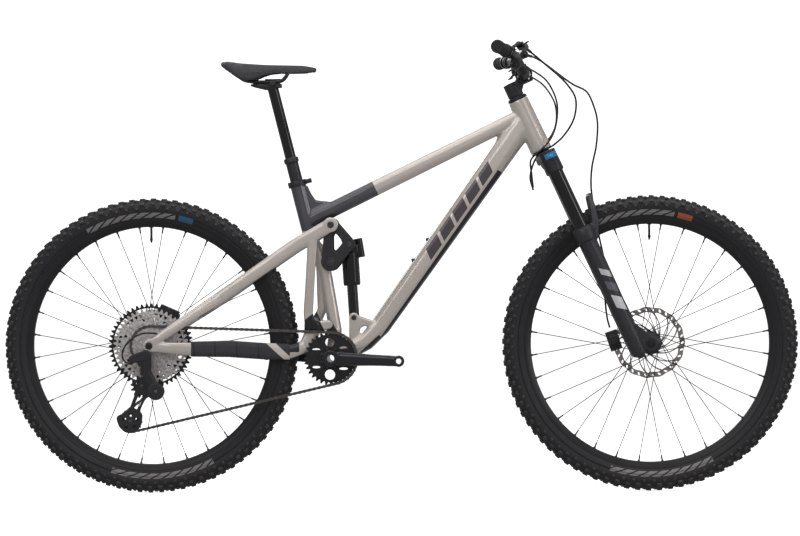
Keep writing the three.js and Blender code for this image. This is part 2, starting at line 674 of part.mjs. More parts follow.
function brakeBody(hand) {
  const { ring, room } = barClamp(clampSpot, hand, 14, 5);
  const near = barPoint(hand * clampSpot).add(new THREE.Vector3(30, 0, 4));
  const far = barPoint(hand * (clampSpot - 72)).add(new THREE.Vector3(34, 0, 3));
  const cylinder = bar(near, far, 10, 11, 10);
  const arm = bar(near, leverPivot(hand).add(new THREE.Vector3(0, 0, 9)), 8, 7, 8);
  const knuckle = closed(new THREE.BoxGeometry(18, 20, 18).translate(...leverPivot(hand).toArray()));
  const fork = closed(new THREE.BoxGeometry(30, 30, 6).translate(...leverPivot(hand).toArray()));
  const neck = bar(barPoint(hand * clampSpot), near, 7, 8, 8);
  return cut(join(ring, cylinder, arm, knuckle, neck), room, fork);
}

function brakeLever(hand) {
  const pivot = leverPivot(hand);
  const reach = [
    stop(pivot.clone().add(new THREE.Vector3(-6, hand * -6, 0)), 2.2, 6, 2.6),
    stop(pivot.clone().add(new THREE.Vector3(3, hand * 8, 0)), 2.2, 6, 2.6),
    stop(pivot.clone().add(new THREE.Vector3(14, hand * 34, 0)), 2.2, 5, 2.6),
    stop(pivot.clone().add(new THREE.Vector3(13, hand * 78, -2)), 2.2, 5, 2.6),
    stop(pivot.clone().add(new THREE.Vector3(15, hand * 104, -3)), 2.2, 6, 2.6),
  ];
  return spar(reach, { across: new THREE.Vector3(1, 0, 0), count: 8 });
}

for (const [word, hand] of [['right', -1], ['left', 1]]) {
  add(`brake_body_${word}`, brakeBody(hand), blackMetal, steering);
  add(`brake_lever_${word}`, brakeLever(hand), darkAlloy, steering);
}

const shifterSpot = clampSpot - 20;
const podDrop = 31;

function controlBody(hand, size) {
  // a shifter or remote body hung under the bar from its own ring
  const { ring, room } = barClamp(shifterSpot, hand, 10, 4);
  const heart = barPoint(hand * shifterSpot).add(new THREE.Vector3(2, 0, -podDrop));
  const pod = bar(heart.clone().add(new THREE.Vector3(0, hand * -0.6 * size, 0)),
    heart.clone().add(new THREE.Vector3(0, hand * 8, 0)), 0.62 * size, 0.5 * size, 10);
  const post = bar(barPoint(hand * shifterSpot), heart, 5, 5, 8);
  return cut(join(ring, pod, post), room);
}

function paddle(hand, inset, ahead, drop, length) {
  // a thumb lever that starts beside its body and runs towards the grip
  const start = barPoint(hand * (shifterSpot + 10.5 + inset)).add(new THREE.Vector3(ahead, 0, -podDrop - drop));
  const tip = start.clone().add(new THREE.Vector3(-14, hand * length, -6));
  return spar([
    stop(start, 2, 5, 2.6),
    stop(start.clone().lerp(tip, 0.6), 2, 5, 2.6),
    stop(tip, 1.8, 8, 2.6),
  ], { across: new THREE.Vector3(1, 0, 0), count: 8 });
}
add('shifter_body', controlBody(-1, 26), blackPlastic, steering);
add('shift_paddle_lower', paddle(-1, 0, -2, 8, 26), blackPlastic, steering);
add('shift_paddle_upper', paddle(-1, 1, -1, -4, 20), blackPlastic, steering);
add('dropper_remote_body', controlBody(1, 18), blackPlastic, steering);
add('dropper_paddle', paddle(1, 0, -2, 3, 30), blackPlastic, steering);

// ---------- wheels ----------

const rimEdge = axleHeight - tyreHeight;
const rimInner = rimEdge - rimHeight;
const wheelSteps = 32;
const flangeRadius = 29;

function wheel(word, centre, flanges, hubProfile) {
  const half = tyreWidth / 2;
  const beadIn = 0.39 * rimWidth;
  const beadOut = rimWidth / 2;
  add(`${word}_tyre`, spin([
    [rimEdge + gap, beadOut], [rimEdge + 0.45 * tyreHeight, half], [axleHeight - 10, 0.8 * half], [axleHeight, 0],
    [axleHeight - 10, -0.8 * half], [rimEdge + 0.45 * tyreHeight, -half], [rimEdge + gap, -beadOut],
    [axleHeight - 12, 0],
  ], wheelSteps, centre), blackRubber);
  add(`${word}_rim`, spin([
    [rimInner, 8], [rimEdge, beadOut], [rimEdge, beadIn], [rimEdge - 9, 0],
    [rimEdge, -beadIn], [rimEdge, -beadOut], [rimInner, -8],
  ], wheelSteps, centre), blackMetal);
  add(`${word}_hub`, spin(hubProfile, 14, centre), blackMetal);
  for (const [label, hand] of [['right', -1], ['left', 1]]) {
    add(`${word}_spokes_${label}`, spokes(centre, hand, flanges[label]), blackMetal);
  }
}

function spokes(centre, hand, flangeY) {
  const step = 360 / spokesPerSide;
  const start = flangeRadius + 2.6;
  const rimY = hand * 3;
  return join(Array.from({ length: spokesPerSide }, (_, i) => {
    const pulling = i % 2 ? 1 : -1; // neighbours lean opposite ways and pass on opposite sides
    const rimAngle = radians((i + (hand > 0 ? 0.75 : 0.25)) * step);
    const lean = radians(spokeCrossings * step) * pulling;
    const at = (radius, angle, y) => new THREE.Vector3(centre.x + radius * Math.cos(angle), y,
      centre.y + radius * Math.sin(angle));
    const from = at(start, rimAngle + lean, flangeY + 0.6 * spokeRadius * pulling);
    const to = at(rimInner - 2.6, rimAngle, rimY);
    return strand(from, to, spokeRadius);
  }));
}

const cassetteFoot = rearHubHalf - 4.4; // the smallest cog's middle
const cassetteBack = cassetteFoot - cogSpacing * (cogTeeth.length - 1);
const freehubRadius = 15;
const rearFlanges = { right: -cassetteBack + 8, left: 34 };
const frontFlanges = { right: -27, left: 22 };

function hubShell(flanges, half, bore, wallRadius, nearRotor) {
  // one turned profile: end cap, flange, waist, flange, rotor seat, end cap
  const { right, left } = flanges;
  return [
    [bore, -half + gap], [wallRadius - 4, -half + gap], [wallRadius - 4, right - 4], [flangeRadius, right - 2],
    [flangeRadius, right + 2], [wallRadius + 1, right + 6], [wallRadius + 1, left - 6], [flangeRadius, left - 2],
    [flangeRadius, left + 2], [wallRadius + 1, left + 5], [wallRadius + 1, nearRotor - 2],
    [wallRadius - 4, nearRotor - 2], [wallRadius - 4, half - gap], [bore, half - gap],
  ];
}

wheel('rear', rearAxle, rearFlanges, hubShell(rearFlanges, rearHubHalf, rearAxleRadius + bearingGap, 18,
  rearRotorLine));
wheel('front', frontAxle, frontFlanges, hubShell(frontFlanges, frontHubHalf, frontAxleRadius + bearingGap, 18,
  frontRotorLine));

function rotor(centre, line) {
  const scallops = 12;
  const outer = Array.from({ length: scallops * 3 }, (_, i) => {
    const angle = 2 * Math.PI * i / (scallops * 3);
    const radius = rotorRadius - (i % 3 === 0 ? 2.5 : 0);
    return side(centre.x + radius * Math.cos(angle), centre.y + radius * Math.sin(angle));
  });
  const arms = 6;
  const windows = Array.from({ length: arms }, (_, i) => {
    const start = 360 * i / arms;
    const width = 360 / arms;
    return [
      ...arc(centre, rotorRadius - 15, start + 6, start + width - 6, 3),
      ...arc(centre, 30, start + width + 4, start + 24, 2),
    ];
  });
  const bore = circle(centre, around(14.4));
  return plate(outer, line - rotorThickness / 2, line + rotorThickness / 2, [...windows, bore]);
}
add('rear_rotor', rotor(rearAxle, rearRotorLine), steel);
add('front_rotor', rotor(frontAxle, frontRotorLine), steel);

// ---------- rear triangle ----------

const dropoutY = 80;
const dropoutHalf = 6 - gap;

// the chainstay's middle line from the yoke to the dropout: [x, z] from the bracket, |y|, half-height, half-width
const chainstaySpots = [
  [-48, 66, 34, 18, 7],
  [-66, 30, 36, 17, 7],
  [-103, 17, 41, 18, 7.5],
  [-160, 18, 45, 19, 8],
  [-255, 25, 50, 19, 8],
  [-350, 25, 63.5, 17, 8],
  [-400, 28, 75, 15, 7],
  [-436, 31, dropoutY, 14, dropoutHalf],
];
const chainstayPart = (hand, from, to, grow = 0) => spar(chainstaySpots.slice(from, to).map(
  ([x, z, y, h, w]) => stop(lift(fromBracket(x, z), hand * y), h + grow, w + grow, 2.8),
));

function rearTriangle() {
  const stayRun = (share) => stayPivot.clone().lerp(rearAxle, share);
  const halves = [-1, 1].map((hand) => {
    const strutHead = hand < 0 ? fromBracket(-45, 296) : fromBracket(-31, 274);
    const strutFoot = hand < 0 ? fromBracket(-57, 115) : fromBracket(-26, 120);
    const at = (point, y) => lift(point, hand * y);
    const slabMiddle = (staySlab.in + staySlab.out) / 2;
    const slabHalf = (staySlab.out - staySlab.in) / 2;
    const seatstay = spar([
      stop(at(stayPivot, slabMiddle), 18, slabHalf, 3),
      stop(at(stayRun(0.2).add(side(0, 8)), slabMiddle), 18, slabHalf, 3),
      stop(at(fromBracket(-279, 151.5), 49), 16.5, 8, 2.8),
      stop(at(fromBracket(-355, 102), 65), 14, 7.5, 2.8),
      stop(at(fromBracket(-400, 72), 75), 13, 7, 2.8),
      stop(at(fromBracket(-436, 48), dropoutY), 12, dropoutHalf, 2.8),
    ]);
    const eye = pin(stayPivot, 19, Math.min(hand * staySlab.in, hand * staySlab.out),
      Math.max(hand * staySlab.in, hand * staySlab.out), 16);
    const strut = spar([
      stop(at(strutHead, slabMiddle), 13, 6, 3),
      stop(at(strutHead.clone().lerp(strutFoot, 0.5), slabMiddle - 1), 12, 6, 3),
      stop(at(strutFoot, 37), 12.5, 6.5, 3),
      stop(at(fromBracket(-52, 70), 36), 14, 7, 3),
    ]);
    const chainstay = chainstayPart(hand, 0, chainstaySpots.length);
    const dropout = plate([
      ...arc(rearAxle, 17, 100, 260, 6),
      fromBracket(-436, 18),
      fromBracket(-430, 58),
    ], hand > 0 ? dropoutY - dropoutHalf : -dropoutY - dropoutHalf,
    hand > 0 ? dropoutY + dropoutHalf : -dropoutY + dropoutHalf);
    const ear = plate(capsule(fromBracket(-46, 76), 15, linkEye, 12),
      hand > 0 ? rockerSlab.in : -rockerSlab.out, hand > 0 ? rockerSlab.out : -rockerSlab.in);
    return join(seatstay, eye, strut, chainstay, dropout, ear);
  });
  const yoke = spar([
    stop(lift(fromBracket(-50, 74), -40), 24, 18, 3),
    stop(lift(fromBracket(-48, 76), 0), 27, 20, 3),
    stop(lift(fromBracket(-50, 74), 40), 24, 18, 3),
  ], { across: new THREE.Vector3(1, 0, 0) });
  const hole = pin(rearAxle, around(rearAxleRadius + gap), -100, 100);
  return cut(join(halves, yoke), hole);
}
add('rear_triangle', rearTriangle(), champagne);

// a rubber strip that wraps the outer side of the drive-side chainstay
const guardThickness = 2.2;
function chainstayGuard() {
  const skin = chainstayPart(-1, 2, 6, guardThickness);
  const inner = chainstayPart(-1, 1, 7, gap);
  const wheelSide = closed(new THREE.BoxGeometry(400, 60, 120).rotateZ(0.083)
    .translate(bracket.x - 220, -14.5, bracket.y + 20));
  return cut(skin, inner, wheelSide);
}
add('chainstay_guard', chainstayGuard(), blackRubber);

add('rear_axle', spin([
  [0, -rearHubHalf - 16], [8, -rearHubHalf - 16], [9, -rearHubHalf - 12 - gap],
  [rearAxleRadius, -rearHubHalf - 12 - gap], [rearAxleRadius, rearHubHalf + 14], [0, rearHubHalf + 14],
], 16, rearAxle), blackMetal);
add('rear_caliper', caliper(side(rearAxle.x + 36, rearAxle.y + 80), rearAxle, rearRotorLine, rotorRadius, -1.15),
  blackMetal);

// ---------- suspension links and shock ----------

function rocker() {
  const arms = [-1, 1].map((hand) => {
    const outline = [
      ...arc(stayPivot, 17, 40, 190, 5),
      ...arc(rockerPivot, 24, 150, 330, 7),
      ...arc(shockTop, 16, -60, 60, 4),
    ];
    const middle = side((stayPivot.x + rockerPivot.x + shockTop.x) / 3, (stayPivot.y + rockerPivot.y + shockTop.y) / 3);
    const window = [
      side(middle.x - 9, middle.y + 21),
      side(middle.x - 9, middle.y - 14),
      side(middle.x + 15, middle.y + 2),
    ];
    const arm = plate(outline, hand > 0 ? rockerSlab.in : -rockerSlab.out + gap,
      hand > 0 ? rockerSlab.out - gap : -rockerSlab.in, [window]);
    return arm;
  });
  return join(arms, pin(rockerPivot, rockerAxleRadius, -rockerSlab.in - 2, rockerSlab.in + 2));
}
add('rocker', rocker(), blackMetal);

function lowerLink() {
  const arms = [-1, 1].map((hand) => plate(capsule(linkPivot, 12, linkEye, 11),
    hand > 0 ? linkSlab.in : -linkSlab.out, hand > 0 ? linkSlab.out : -linkSlab.in));
  return join(arms, pin(linkPivot, pivotRadius, -linkSlab.in - 2, linkSlab.in + 2));
}
add('lower_link', lowerLink(), blackMetal);

const shockLength = shockTop.distanceTo(shockFoot);
const canRadius = 22;
const canFoot = shockLength - 103;
const shaftRadius = 13.5;
const shaftTop = canFoot + 20;

function shockCan() {
  const body = upright([
    [around(shaftRadius + gap), canFoot], [canRadius - 1, canFoot], [canRadius, canFoot + 6],
    [canRadius, shockLength - 24], [18, shockLength - 14], [0, shockLength - 14],
    [0, shaftTop + shockStroke + 4], [around(shaftRadius + gap), shaftTop + shockStroke + 4],
  ], 14);
  const head = pin(side(0, shockLength), 15, -rockerSlab.in + 1, rockerSlab.in - 1, 16);
  const neck = closed(new THREE.BoxGeometry(30, 34, 22).translate(4, 0, shockLength - 14));
  const reservoir = bar(new THREE.Vector3(27, 0, shockLength - 34), new THREE.Vector3(22, 0, shockLength + 14), 11, 11);
  return join(body, head, neck, reservoir);
}
add('shock_can', shockCan(), stanchionBlack, shocking);

function shockShaft() {
  const shaft = upright([[0, 4], [shaftRadius, 4], [shaftRadius, shaftTop], [0, shaftTop]], 12);
  const eye = pin(side(0, 0), 12, -15, 15);
  return join(shaft, eye);
}
add('shock_shaft', shockShaft(), stanchionBlack, shocking);

// ---------- drivetrain ----------

const pitchRadius = (teeth) => chainPitch / (2 * Math.sin(Math.PI / teeth));
const rollerRadius = 3.9;

function toothed(centre, teeth, phase) {
  // one valley and one tip for each tooth; a valley stands at the phase angle
  const radius = pitchRadius(teeth);
  return Array.from({ length: 2 * teeth }, (_, i) => {
    const angle = phase + Math.PI * i / teeth;
    const reach = i % 2 ? radius + 3.2 : radius - rollerRadius - 0.8;
    return side(centre.x + reach * Math.cos(angle), centre.y + reach * Math.sin(angle));
  });
}

const guidePulley = side(rearAxle.x - 20.7, rearAxle.y - 101.3);
const tensionPulley = side(rearAxle.x - 50, rearAxle.y - 189);
// the chain's loop, seen from the drive side: turn is +1 where it runs anticlockwise
const loop = [
  { centre: bracket, teeth: chainringTeeth, turn: 1 },
  { centre: rearAxle, teeth: cogTeeth[chosenCog], turn: 1 },
  { centre: guidePulley, teeth: pulleyTeeth, turn: -1 },
  { centre: tensionPulley, teeth: pulleyTeeth, turn: 1 },
];

function headingBetween(from, to) {
  const along = to.centre.clone().sub(from.centre);
  const offset = (to.turn * pitchRadius(to.teeth) - from.turn * pitchRadius(from.teeth)) / along.length();
  return Math.atan2(along.y, along.x) - Math.asin(offset);
}

const wraps = loop.map((stage, i) => {
  const before = loop[(i + loop.length - 1) % loop.length];
  const after = loop[(i + 1) % loop.length];
  const lead = -stage.turn * Math.PI / 2;
  const start = headingBetween(before, stage) + lead;
  let sweep = (headingBetween(stage, after) + lead - start) * stage.turn;
  sweep = ((sweep % (2 * Math.PI)) + 2 * Math.PI) % (2 * Math.PI);
  return { ...stage, start, sweep, middle: start + stage.turn * sweep / 2, radius: pitchRadius(stage.teeth) };
});
const onWrap = (wrap, angle, grow = 0) => side(
  wrap.centre.x + (wrap.radius + grow) * Math.cos(angle),
  wrap.centre.y + (wrap.radius + grow) * Math.sin(angle),
);

function chain() {
  const plateHalf = 3.6;
  const edge = (grow) => wraps.flatMap((wrap) => {
    const steps = Math.max(2, Math.round(wrap.sweep / (2 * Math.PI / wrap.teeth)));
    return Array.from({ length: steps + 1 }, (_, i) => onWrap(wrap,
      wrap.start + wrap.turn * wrap.sweep * i / steps, wrap.turn * grow));
  });
  const sidePlates = [-1, 1].map((hand) => {
    const middle = -chainLine + hand * 1.9;
    return plate(edge(plateHalf), middle - 0.6, middle + 0.6, [edge(-plateHalf)]);
  });
  const rung = (spot) => pin(spot, 1.9, -chainLine - 1.6, -chainLine + 1.6, 4);
  const pairAngle = (wrap) => 2 * 2 * Math.PI / wrap.teeth;
  const rungs = wraps.flatMap((wrap, i) => {
    const reach = Math.floor(wrap.sweep / 2 / pairAngle(wrap));
    const held = Array.from({ length: 2 * reach + 1 }, (_, k) => onWrap(wrap,
      wrap.middle + (k - reach) * pairAngle(wrap)));
    const next = wraps[(i + 1) % wraps.length];
    const leave = onWrap(wrap, wrap.start + wrap.turn * wrap.sweep);
    const arrive = onWrap(next, next.start);
    const free = Math.round(leave.distanceTo(arrive) / (4 * chainPitch)) - 1;
    const flying = Array.from({ length: Math.max(0, free) }, (_, k) => leave.clone().lerp(arrive, (k + 1) / (free + 1)));
    return [...held, ...flying];
  }).map(rung);
  return join(sidePlates, rungs);
}
add('chain', chain(), darkAlloy);

function cassette() {
  const wrap = wraps[1];
  const cogs = cogTeeth.map((teeth, i) => {
    const line = -cassetteFoot + i * cogSpacing;
    const outline = i === chosenCog ? toothed(rearAxle, teeth, wrap.middle)
      : circle(rearAxle, pitchRadius(teeth) + 2.5, Math.round(0.5 * teeth) + 5);
    return plate(outline, line - 0.8, line + 0.8);
  });
  const core = pin(rearAxle, 19, -cassetteFoot, -cassetteBack, 8);
  const bore = pin(rearAxle, around(freehubRadius, 8), -cassetteFoot - 5, -cassetteBack + 5, 8);
  return cut(join(core, cogs), bore);
}
add('cassette', cassette(), silver);

function chainring() {
  const wrap = wraps[0];
  const windows = Array.from({ length: 4 }, (_, i) => {
    const start = 45 + 90 * i;
    return [
      ...arc(bracket, pitchRadius(chainringTeeth) - 14, start - 26, start + 26, 4),
      ...arc(bracket, 28, start + 22, start - 22, 2),
    ];
  });
  const disc = plate(toothed(bracket, chainringTeeth, wrap.middle), -chainLine - 0.9, -chainLine + 0.9, windows);
  return cut(disc, pin(bracket, around(spindleRadius + 2.5 + gap), -60, -30));
}
add('chainring', chainring(), blackMetal);

function crankArm(hand) {
  const tip = side(hand < 0 ? crankLength : -crankLength, 0);
  const place = (share, y) => new THREE.Vector3(tip.x * share, hand * y, 0);
  const arm = spar([
    stop(place(0, 74), 20, 9, 2.6),
    stop(place(0.25, 74.5), 17.5, 8, 2.8),
    stop(place(0.6, 79), 14.5, 7, 3),
    stop(place(0.96, 82), 13.5, 6.5, 2.8),
  ]);
  const hubBoss = pin(side(0, 0), 20.5, Math.min(hand * 63, hand * 84), Math.max(hand * 63, hand * 84), 16);
  const eye = pin(tip, 14.5, Math.min(hand * 75, hand * 89), Math.max(hand * 75, hand * 89), 14);
  const pedalHole = pin(tip, 7, -100, 100, 10);
  const whole = join(arm, hubBoss, eye);
  return { whole, pedalHole };
}

{
  const { whole, pedalHole } = crankArm(-1);
  const spindle = pin(side(0, 0), spindleRadius, -70, 84);
  const ringSeat = pin(side(0, 0), spindleRadius + 2.5, -66, -chainLine + 3);
  const bore = pin(side(0, 0), spindleBore, -100, 100, 10);
  add('crank_right', cut(join(whole, spindle, ringSeat), pedalHole, bore), darkAlloy, cranking);
}
{
  const { whole, pedalHole } = crankArm(1);
  const socket = pin(side(0, 0), around(spindleRadius + gap), -10, 100);
  add('crank_left', cut(whole, pedalHole, socket), darkAlloy, cranking);
}

function pulley(wrap) {
  const disc = plate(toothed(wrap.centre, wrap.teeth, wrap.middle), -chainLine - 0.9, -chainLine + 0.9);
  const hub = pin(wrap.centre, 8, -chainLine - 3, -chainLine + 3, 8);
  return cut(join(disc, hub), pin(wrap.centre, around(4 + gap, 8), -60, -30, 8));
}
add('guide_pulley', pulley(wraps[2]), blackPlastic);
add('tension_pulley', pulley(wraps[3]), blackPlastic);

const cageInner = -chainLine + 4.2;
const cageOuter = -chainLine - 4.2;
const knuckle = side(rearAxle.x + 17, rearAxle.y - 113);

function derailleurCage() {
  const innerPlate = plate(capsule(guidePulley, 13, tensionPulley, 14), cageInner, cageInner + 2);
  const outerPlate = plate(capsule(guidePulley, 13, tensionPulley, 14), cageOuter - 2, cageOuter,
    [capsule(guidePulley.clone().lerp(tensionPulley, 0.3), 6, guidePulley.clone().lerp(tensionPulley, 0.7), 7, 4)]);
  const joint = plate(capsule(guidePulley, 13, knuckle, 15), cageOuter - 6, cageOuter);
  const axles = [guidePulley, tensionPulley].map((spot) => pin(spot, 4, cageOuter - 1, cageInner + 1, 8));
  return join(innerPlate, outerPlate, joint, axles);
}
add('derailleur_cage', derailleurCage(), blackMetal);

function derailleurBody() {
  const hanger = side(rearAxle.x - 6, rearAxle.y - 22);
  const outboard = -dropoutY - 8;
  const drum = pin(knuckle, 20, outboard - 8, cageOuter - 6 - gap, 16);
  const arm = spar([
    stop(lift(knuckle, -82), 13, 11, 2.8),
    stop(lift(side(rearAxle.x - 8, rearAxle.y - 66), -88), 15, 10, 2.8),
    stop(lift(hanger, outboard - 6), 14, 6.5, 2.8),
  ]);
  const boss = plate(capsule(hanger, 13, side(hanger.x - 34, hanger.y - 10), 10), outboard - 12, outboard + 1.5);
  return join(drum, arm, boss);
}
add('derailleur_body', derailleurBody(), blackMetal);

// ---------- hoses and housings ----------

const up = (x, y, z) => new THREE.Vector3(x, y, z);

add('front_brake_hose', cord([
  up(67, 155.4, 795.7), up(92, 122, 768), up(143, 80, 673), up(167, 70, 640), up(168, 62, 600), up(160, 60, 560),
  up(132, 66, 506), up(100, 72, 462), up(78, 80, 420), up(62, 90, 370), up(44, 93, 300), up(24, 93, 218),
  up(-8, 91, 150), up(-26, 76, 98), up(-30, 62, 76),
], 2.5, 24), blackPlastic, steering);

add('rear_brake_hose', cord([
  up(67, -156, 795.7), up(92, -112, 748), up(128, -20, 672), up(132, 22, 630), up(108, 32, 590), up(66, 45, 562),
  up(34, 44, 552), up(-12, 38, 545), up(-52, 31, 505), up(-60, 29, 470),
], 2.5, 24), blackPlastic, steering);

add('shift_housing', cord([
  up(30, -192.6, 764.8), up(66, -126, 730), up(86, -60, 690), up(84, -38, 640), up(60, -34, 594), up(34, -36, 568),
  up(0, -36, 552), up(-34, -32, 540), up(-48, -28, 505), up(-58, -27.5, 475),
], 2.3, 20), blackPlastic, steering);

add('dropper_housing', cord([
  up(30, 197.4, 764.8), up(58, 140, 735), up(78, 64, 690), up(80, 30, 640), up(62, 30, 598), up(36, 31.5, 574),
  up(8, 31, 564), up(-20, 31, 552),
], 2.3, 20), blackPlastic, steering);

export default bike;
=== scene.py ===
import json
import math

import bmesh
import bpy
from mathutils import Matrix, Vector


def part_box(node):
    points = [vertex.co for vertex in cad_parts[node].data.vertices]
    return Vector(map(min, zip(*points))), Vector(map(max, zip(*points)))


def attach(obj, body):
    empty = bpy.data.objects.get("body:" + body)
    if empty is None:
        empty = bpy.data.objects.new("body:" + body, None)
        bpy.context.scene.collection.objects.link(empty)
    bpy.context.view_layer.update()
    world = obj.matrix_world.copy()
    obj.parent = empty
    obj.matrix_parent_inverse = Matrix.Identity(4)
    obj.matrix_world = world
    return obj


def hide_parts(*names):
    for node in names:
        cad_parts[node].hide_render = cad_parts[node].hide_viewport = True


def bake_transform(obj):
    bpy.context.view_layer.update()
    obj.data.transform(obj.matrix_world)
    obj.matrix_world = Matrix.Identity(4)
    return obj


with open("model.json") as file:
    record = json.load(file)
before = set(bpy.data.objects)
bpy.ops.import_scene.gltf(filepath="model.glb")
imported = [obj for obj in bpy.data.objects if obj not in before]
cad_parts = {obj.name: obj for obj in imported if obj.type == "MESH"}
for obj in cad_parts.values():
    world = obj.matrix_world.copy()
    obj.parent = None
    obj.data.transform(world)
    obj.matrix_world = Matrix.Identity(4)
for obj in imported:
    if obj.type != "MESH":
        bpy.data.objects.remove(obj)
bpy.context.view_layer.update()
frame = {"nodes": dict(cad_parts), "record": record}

mm = 0.001
yAxis = Vector((0, 1, 0))
joints = {joint["name"]: joint for joint in frame["record"]["behaviour"]["joints"]}


def jointSpot(name):
    return Vector(joints[name]["pos_m"])


rearAxle = jointSpot("rear_wheel_spin")
frontAxle = jointSpot("front_wheel_spin")
bracket = jointSpot("crank_spin")
guideSpot = jointSpot("guide_pulley_spin")
tensionSpot = jointSpot("tension_pulley_spin")
knuckleSpot = jointSpot("cage_swing")
steerFoot = jointSpot("steering_turn")
steerUp = Vector(joints["steering_turn"]["axis"])
steerAhead = yAxis.cross(steerUp)
seatUp = Vector(joints["dropper_drop"]["axis"])
postLow, postHigh = (Vector(corner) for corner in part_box("dropper_inner_tube"))
postMiddle = (postLow + postHigh) / 2
shockFoot = jointSpot("shock_swing")


def steer(ahead, y, up):
    # a point given along the steering axis, in mm
    return steerFoot + (steerAhead * ahead + yAxis * y + steerUp * up) * mm


# ---------- the camera, the light and the floor ----------

studio = {
    "distance": 9.5,
    "viewWidth": 2.008,
    "viewHeight": 0.561,
    "turn": 1.8,
    "roll": -0.35,
    "floorGlow": 0.78,
    "wallDistance": 26,
}


def makeCamera():
    data = bpy.data.cameras.new("mainCamera")
    camera = bpy.data.objects.new("mainCamera", data)
    bpy.context.collection.objects.link(camera)
    data.sensor_width = 36
    data.lens = data.sensor_width * studio["distance"] / studio["viewWidth"]
    data.clip_end = 100
    turn = math.radians(studio["turn"])
    spot = Vector((math.sin(turn), -math.cos(turn), 0)) * studio["distance"]
    camera.location = spot + Vector((0, 0, studio["viewHeight"]))
    upright = Matrix.Rotation(turn, 4, "Z") @ Matrix.Rotation(math.pi / 2, 4, "X")
    rolled = upright @ Matrix.Rotation(math.radians(studio["roll"]), 4, "Z")
    camera.rotation_euler = rolled.to_euler()
    bpy.context.scene.camera = camera


def makeLight(name, spot, target, size, power):
    data = bpy.data.lights.new(name, "AREA")
    data.shape = "RECTANGLE"
    data.size, data.size_y = size
    data.energy = power
    lamp = bpy.data.objects.new(name, data)
    bpy.context.collection.objects.link(lamp)
    lamp.location = spot
    lamp.rotation_euler = (Vector(target) - Vector(spot)).to_track_quat("-Z", "Y").to_euler()


def glowing(name, tone, glow):
    # a pale surface with a little light of its own, so that it stays white behind the object
    pale = bpy.data.materials.new(name)
    pale.use_nodes = True
    shader = pale.node_tree.nodes["Principled BSDF"]
    shader.inputs["Base Color"].default_value = (tone, tone, tone, 1)
    shader.inputs["Roughness"].default_value = 0.9
    shader.inputs["Specular IOR Level"].default_value = 0
    shader.inputs["Emission Color"].default_value = (1, 1, 1, 1)
    shader.inputs["Emission Strength"].default_value = glow
    return pale


def makeSheet(name, place, size, material):
    bm = bmesh.new()
    bmesh.ops.create_grid(bm, x_segments=2, y_segments=2, size=size, matrix=place)
    mesh = bpy.data.meshes.new(name)
    bm.to_mesh(mesh)
    bm.free()
    sheet = bpy.data.objects.new(name, mesh)
    bpy.context.collection.objects.link(sheet)
    mesh.materials.append(material)
    sheet.visible_diffuse = False
    sheet.visible_glossy = False
    return sheet


def makeStudio():
    makeLight("overhead", (0.2, -0.9, 3.4), (0, 0, 0.4), (5.0, 2.6), 62)
    makeLight("driveSide", (-1.2, -4.6, 2.4), (0, 0, 0.5), (4.0, 1.2), 34)
    makeLight("frontSide", (3.8, -2.2, 1.5), (0.3, 0, 0.6), (1.0, 2.4), 24)
    makeLight("farSide", (-1.5, 3.8, 2.6), (0, 0, 0.5), (3.0, 2.0), 40)
    world = bpy.data.worlds.new("paleStudio")
    bpy.context.scene.world = world
    world.use_nodes = True
    world.node_tree.nodes["Background"].inputs["Color"].default_value = (1, 1, 1, 1)
    world.node_tree.nodes["Background"].inputs["Strength"].default_value = 0.34
    makeSheet("floor", Matrix.Translation((0, 0, -0.001)), 30, glowing("paleFloor", 0.9, studio["floorGlow"]))
    pale = glowing("paleBackdrop", 0.9, 1.0)
    for side in range(4):
        turned = Matrix.Rotation(side * math.pi / 2, 4, "Z")
        upright = Matrix.Translation((0, studio["wallDistance"], 0)) @ Matrix.Rotation(math.pi / 2, 4, "X")
        sheet = makeSheet(f"backdrop{side}", turned @ upright, 30, pale)
        sheet.visible_shadow = side == 0


makeCamera()
makeStudio()
bpy.context.scene.view_settings.view_transform = "Standard"
print("studio ready")


# ---------- shading groups ----------

def linear(red, green, blue):
    def one(value):
        value /= 255
        return value / 12.92 if value <= 0.04045 else ((value + 0.055) / 1.055) ** 2.4
    return (one(red), one(green), one(blue), 1)


def newGroup(name, inputs, outputs):
    group = bpy.data.node_groups.new(name, "ShaderNodeTree")
    for label, kind, default in inputs:
        socket = group.interface.new_socket(label, in_out="INPUT", socket_type=kind)
        if default is not None:
            socket.default_value = default
    for label, kind in outputs:
        group.interface.new_socket(label, in_out="OUTPUT", socket_type=kind)
    return group, group.nodes.new("NodeGroupInput"), group.nodes.new("NodeGroupOutput")


def mathNode(tree, operation, first, second=None, third=None, clamp=False):
    node = tree.nodes.new("ShaderNodeMath")
    node.operation = operation
    node.use_clamp = clamp
    for socket, value in zip(node.inputs, (first, second, third)):
        if value is None:
            continue
        if isinstance(value, (int, float)):
            socket.default_value = value
        else:
            tree.links.new(value, socket)
    return node.outputs[0]


def mixColour(tree, mask, first, second):
    node = tree.nodes.new("ShaderNodeMix")
    node.data_type = "RGBA"
    for socket, value in ((node.inputs["Factor"], mask), (node.inputs[6], first), (node.inputs[7], second)):
        if isinstance(value, (int, float, tuple)):
            socket.default_value = value
        else:
            tree.links.new(value, socket)
    return node.outputs[2]


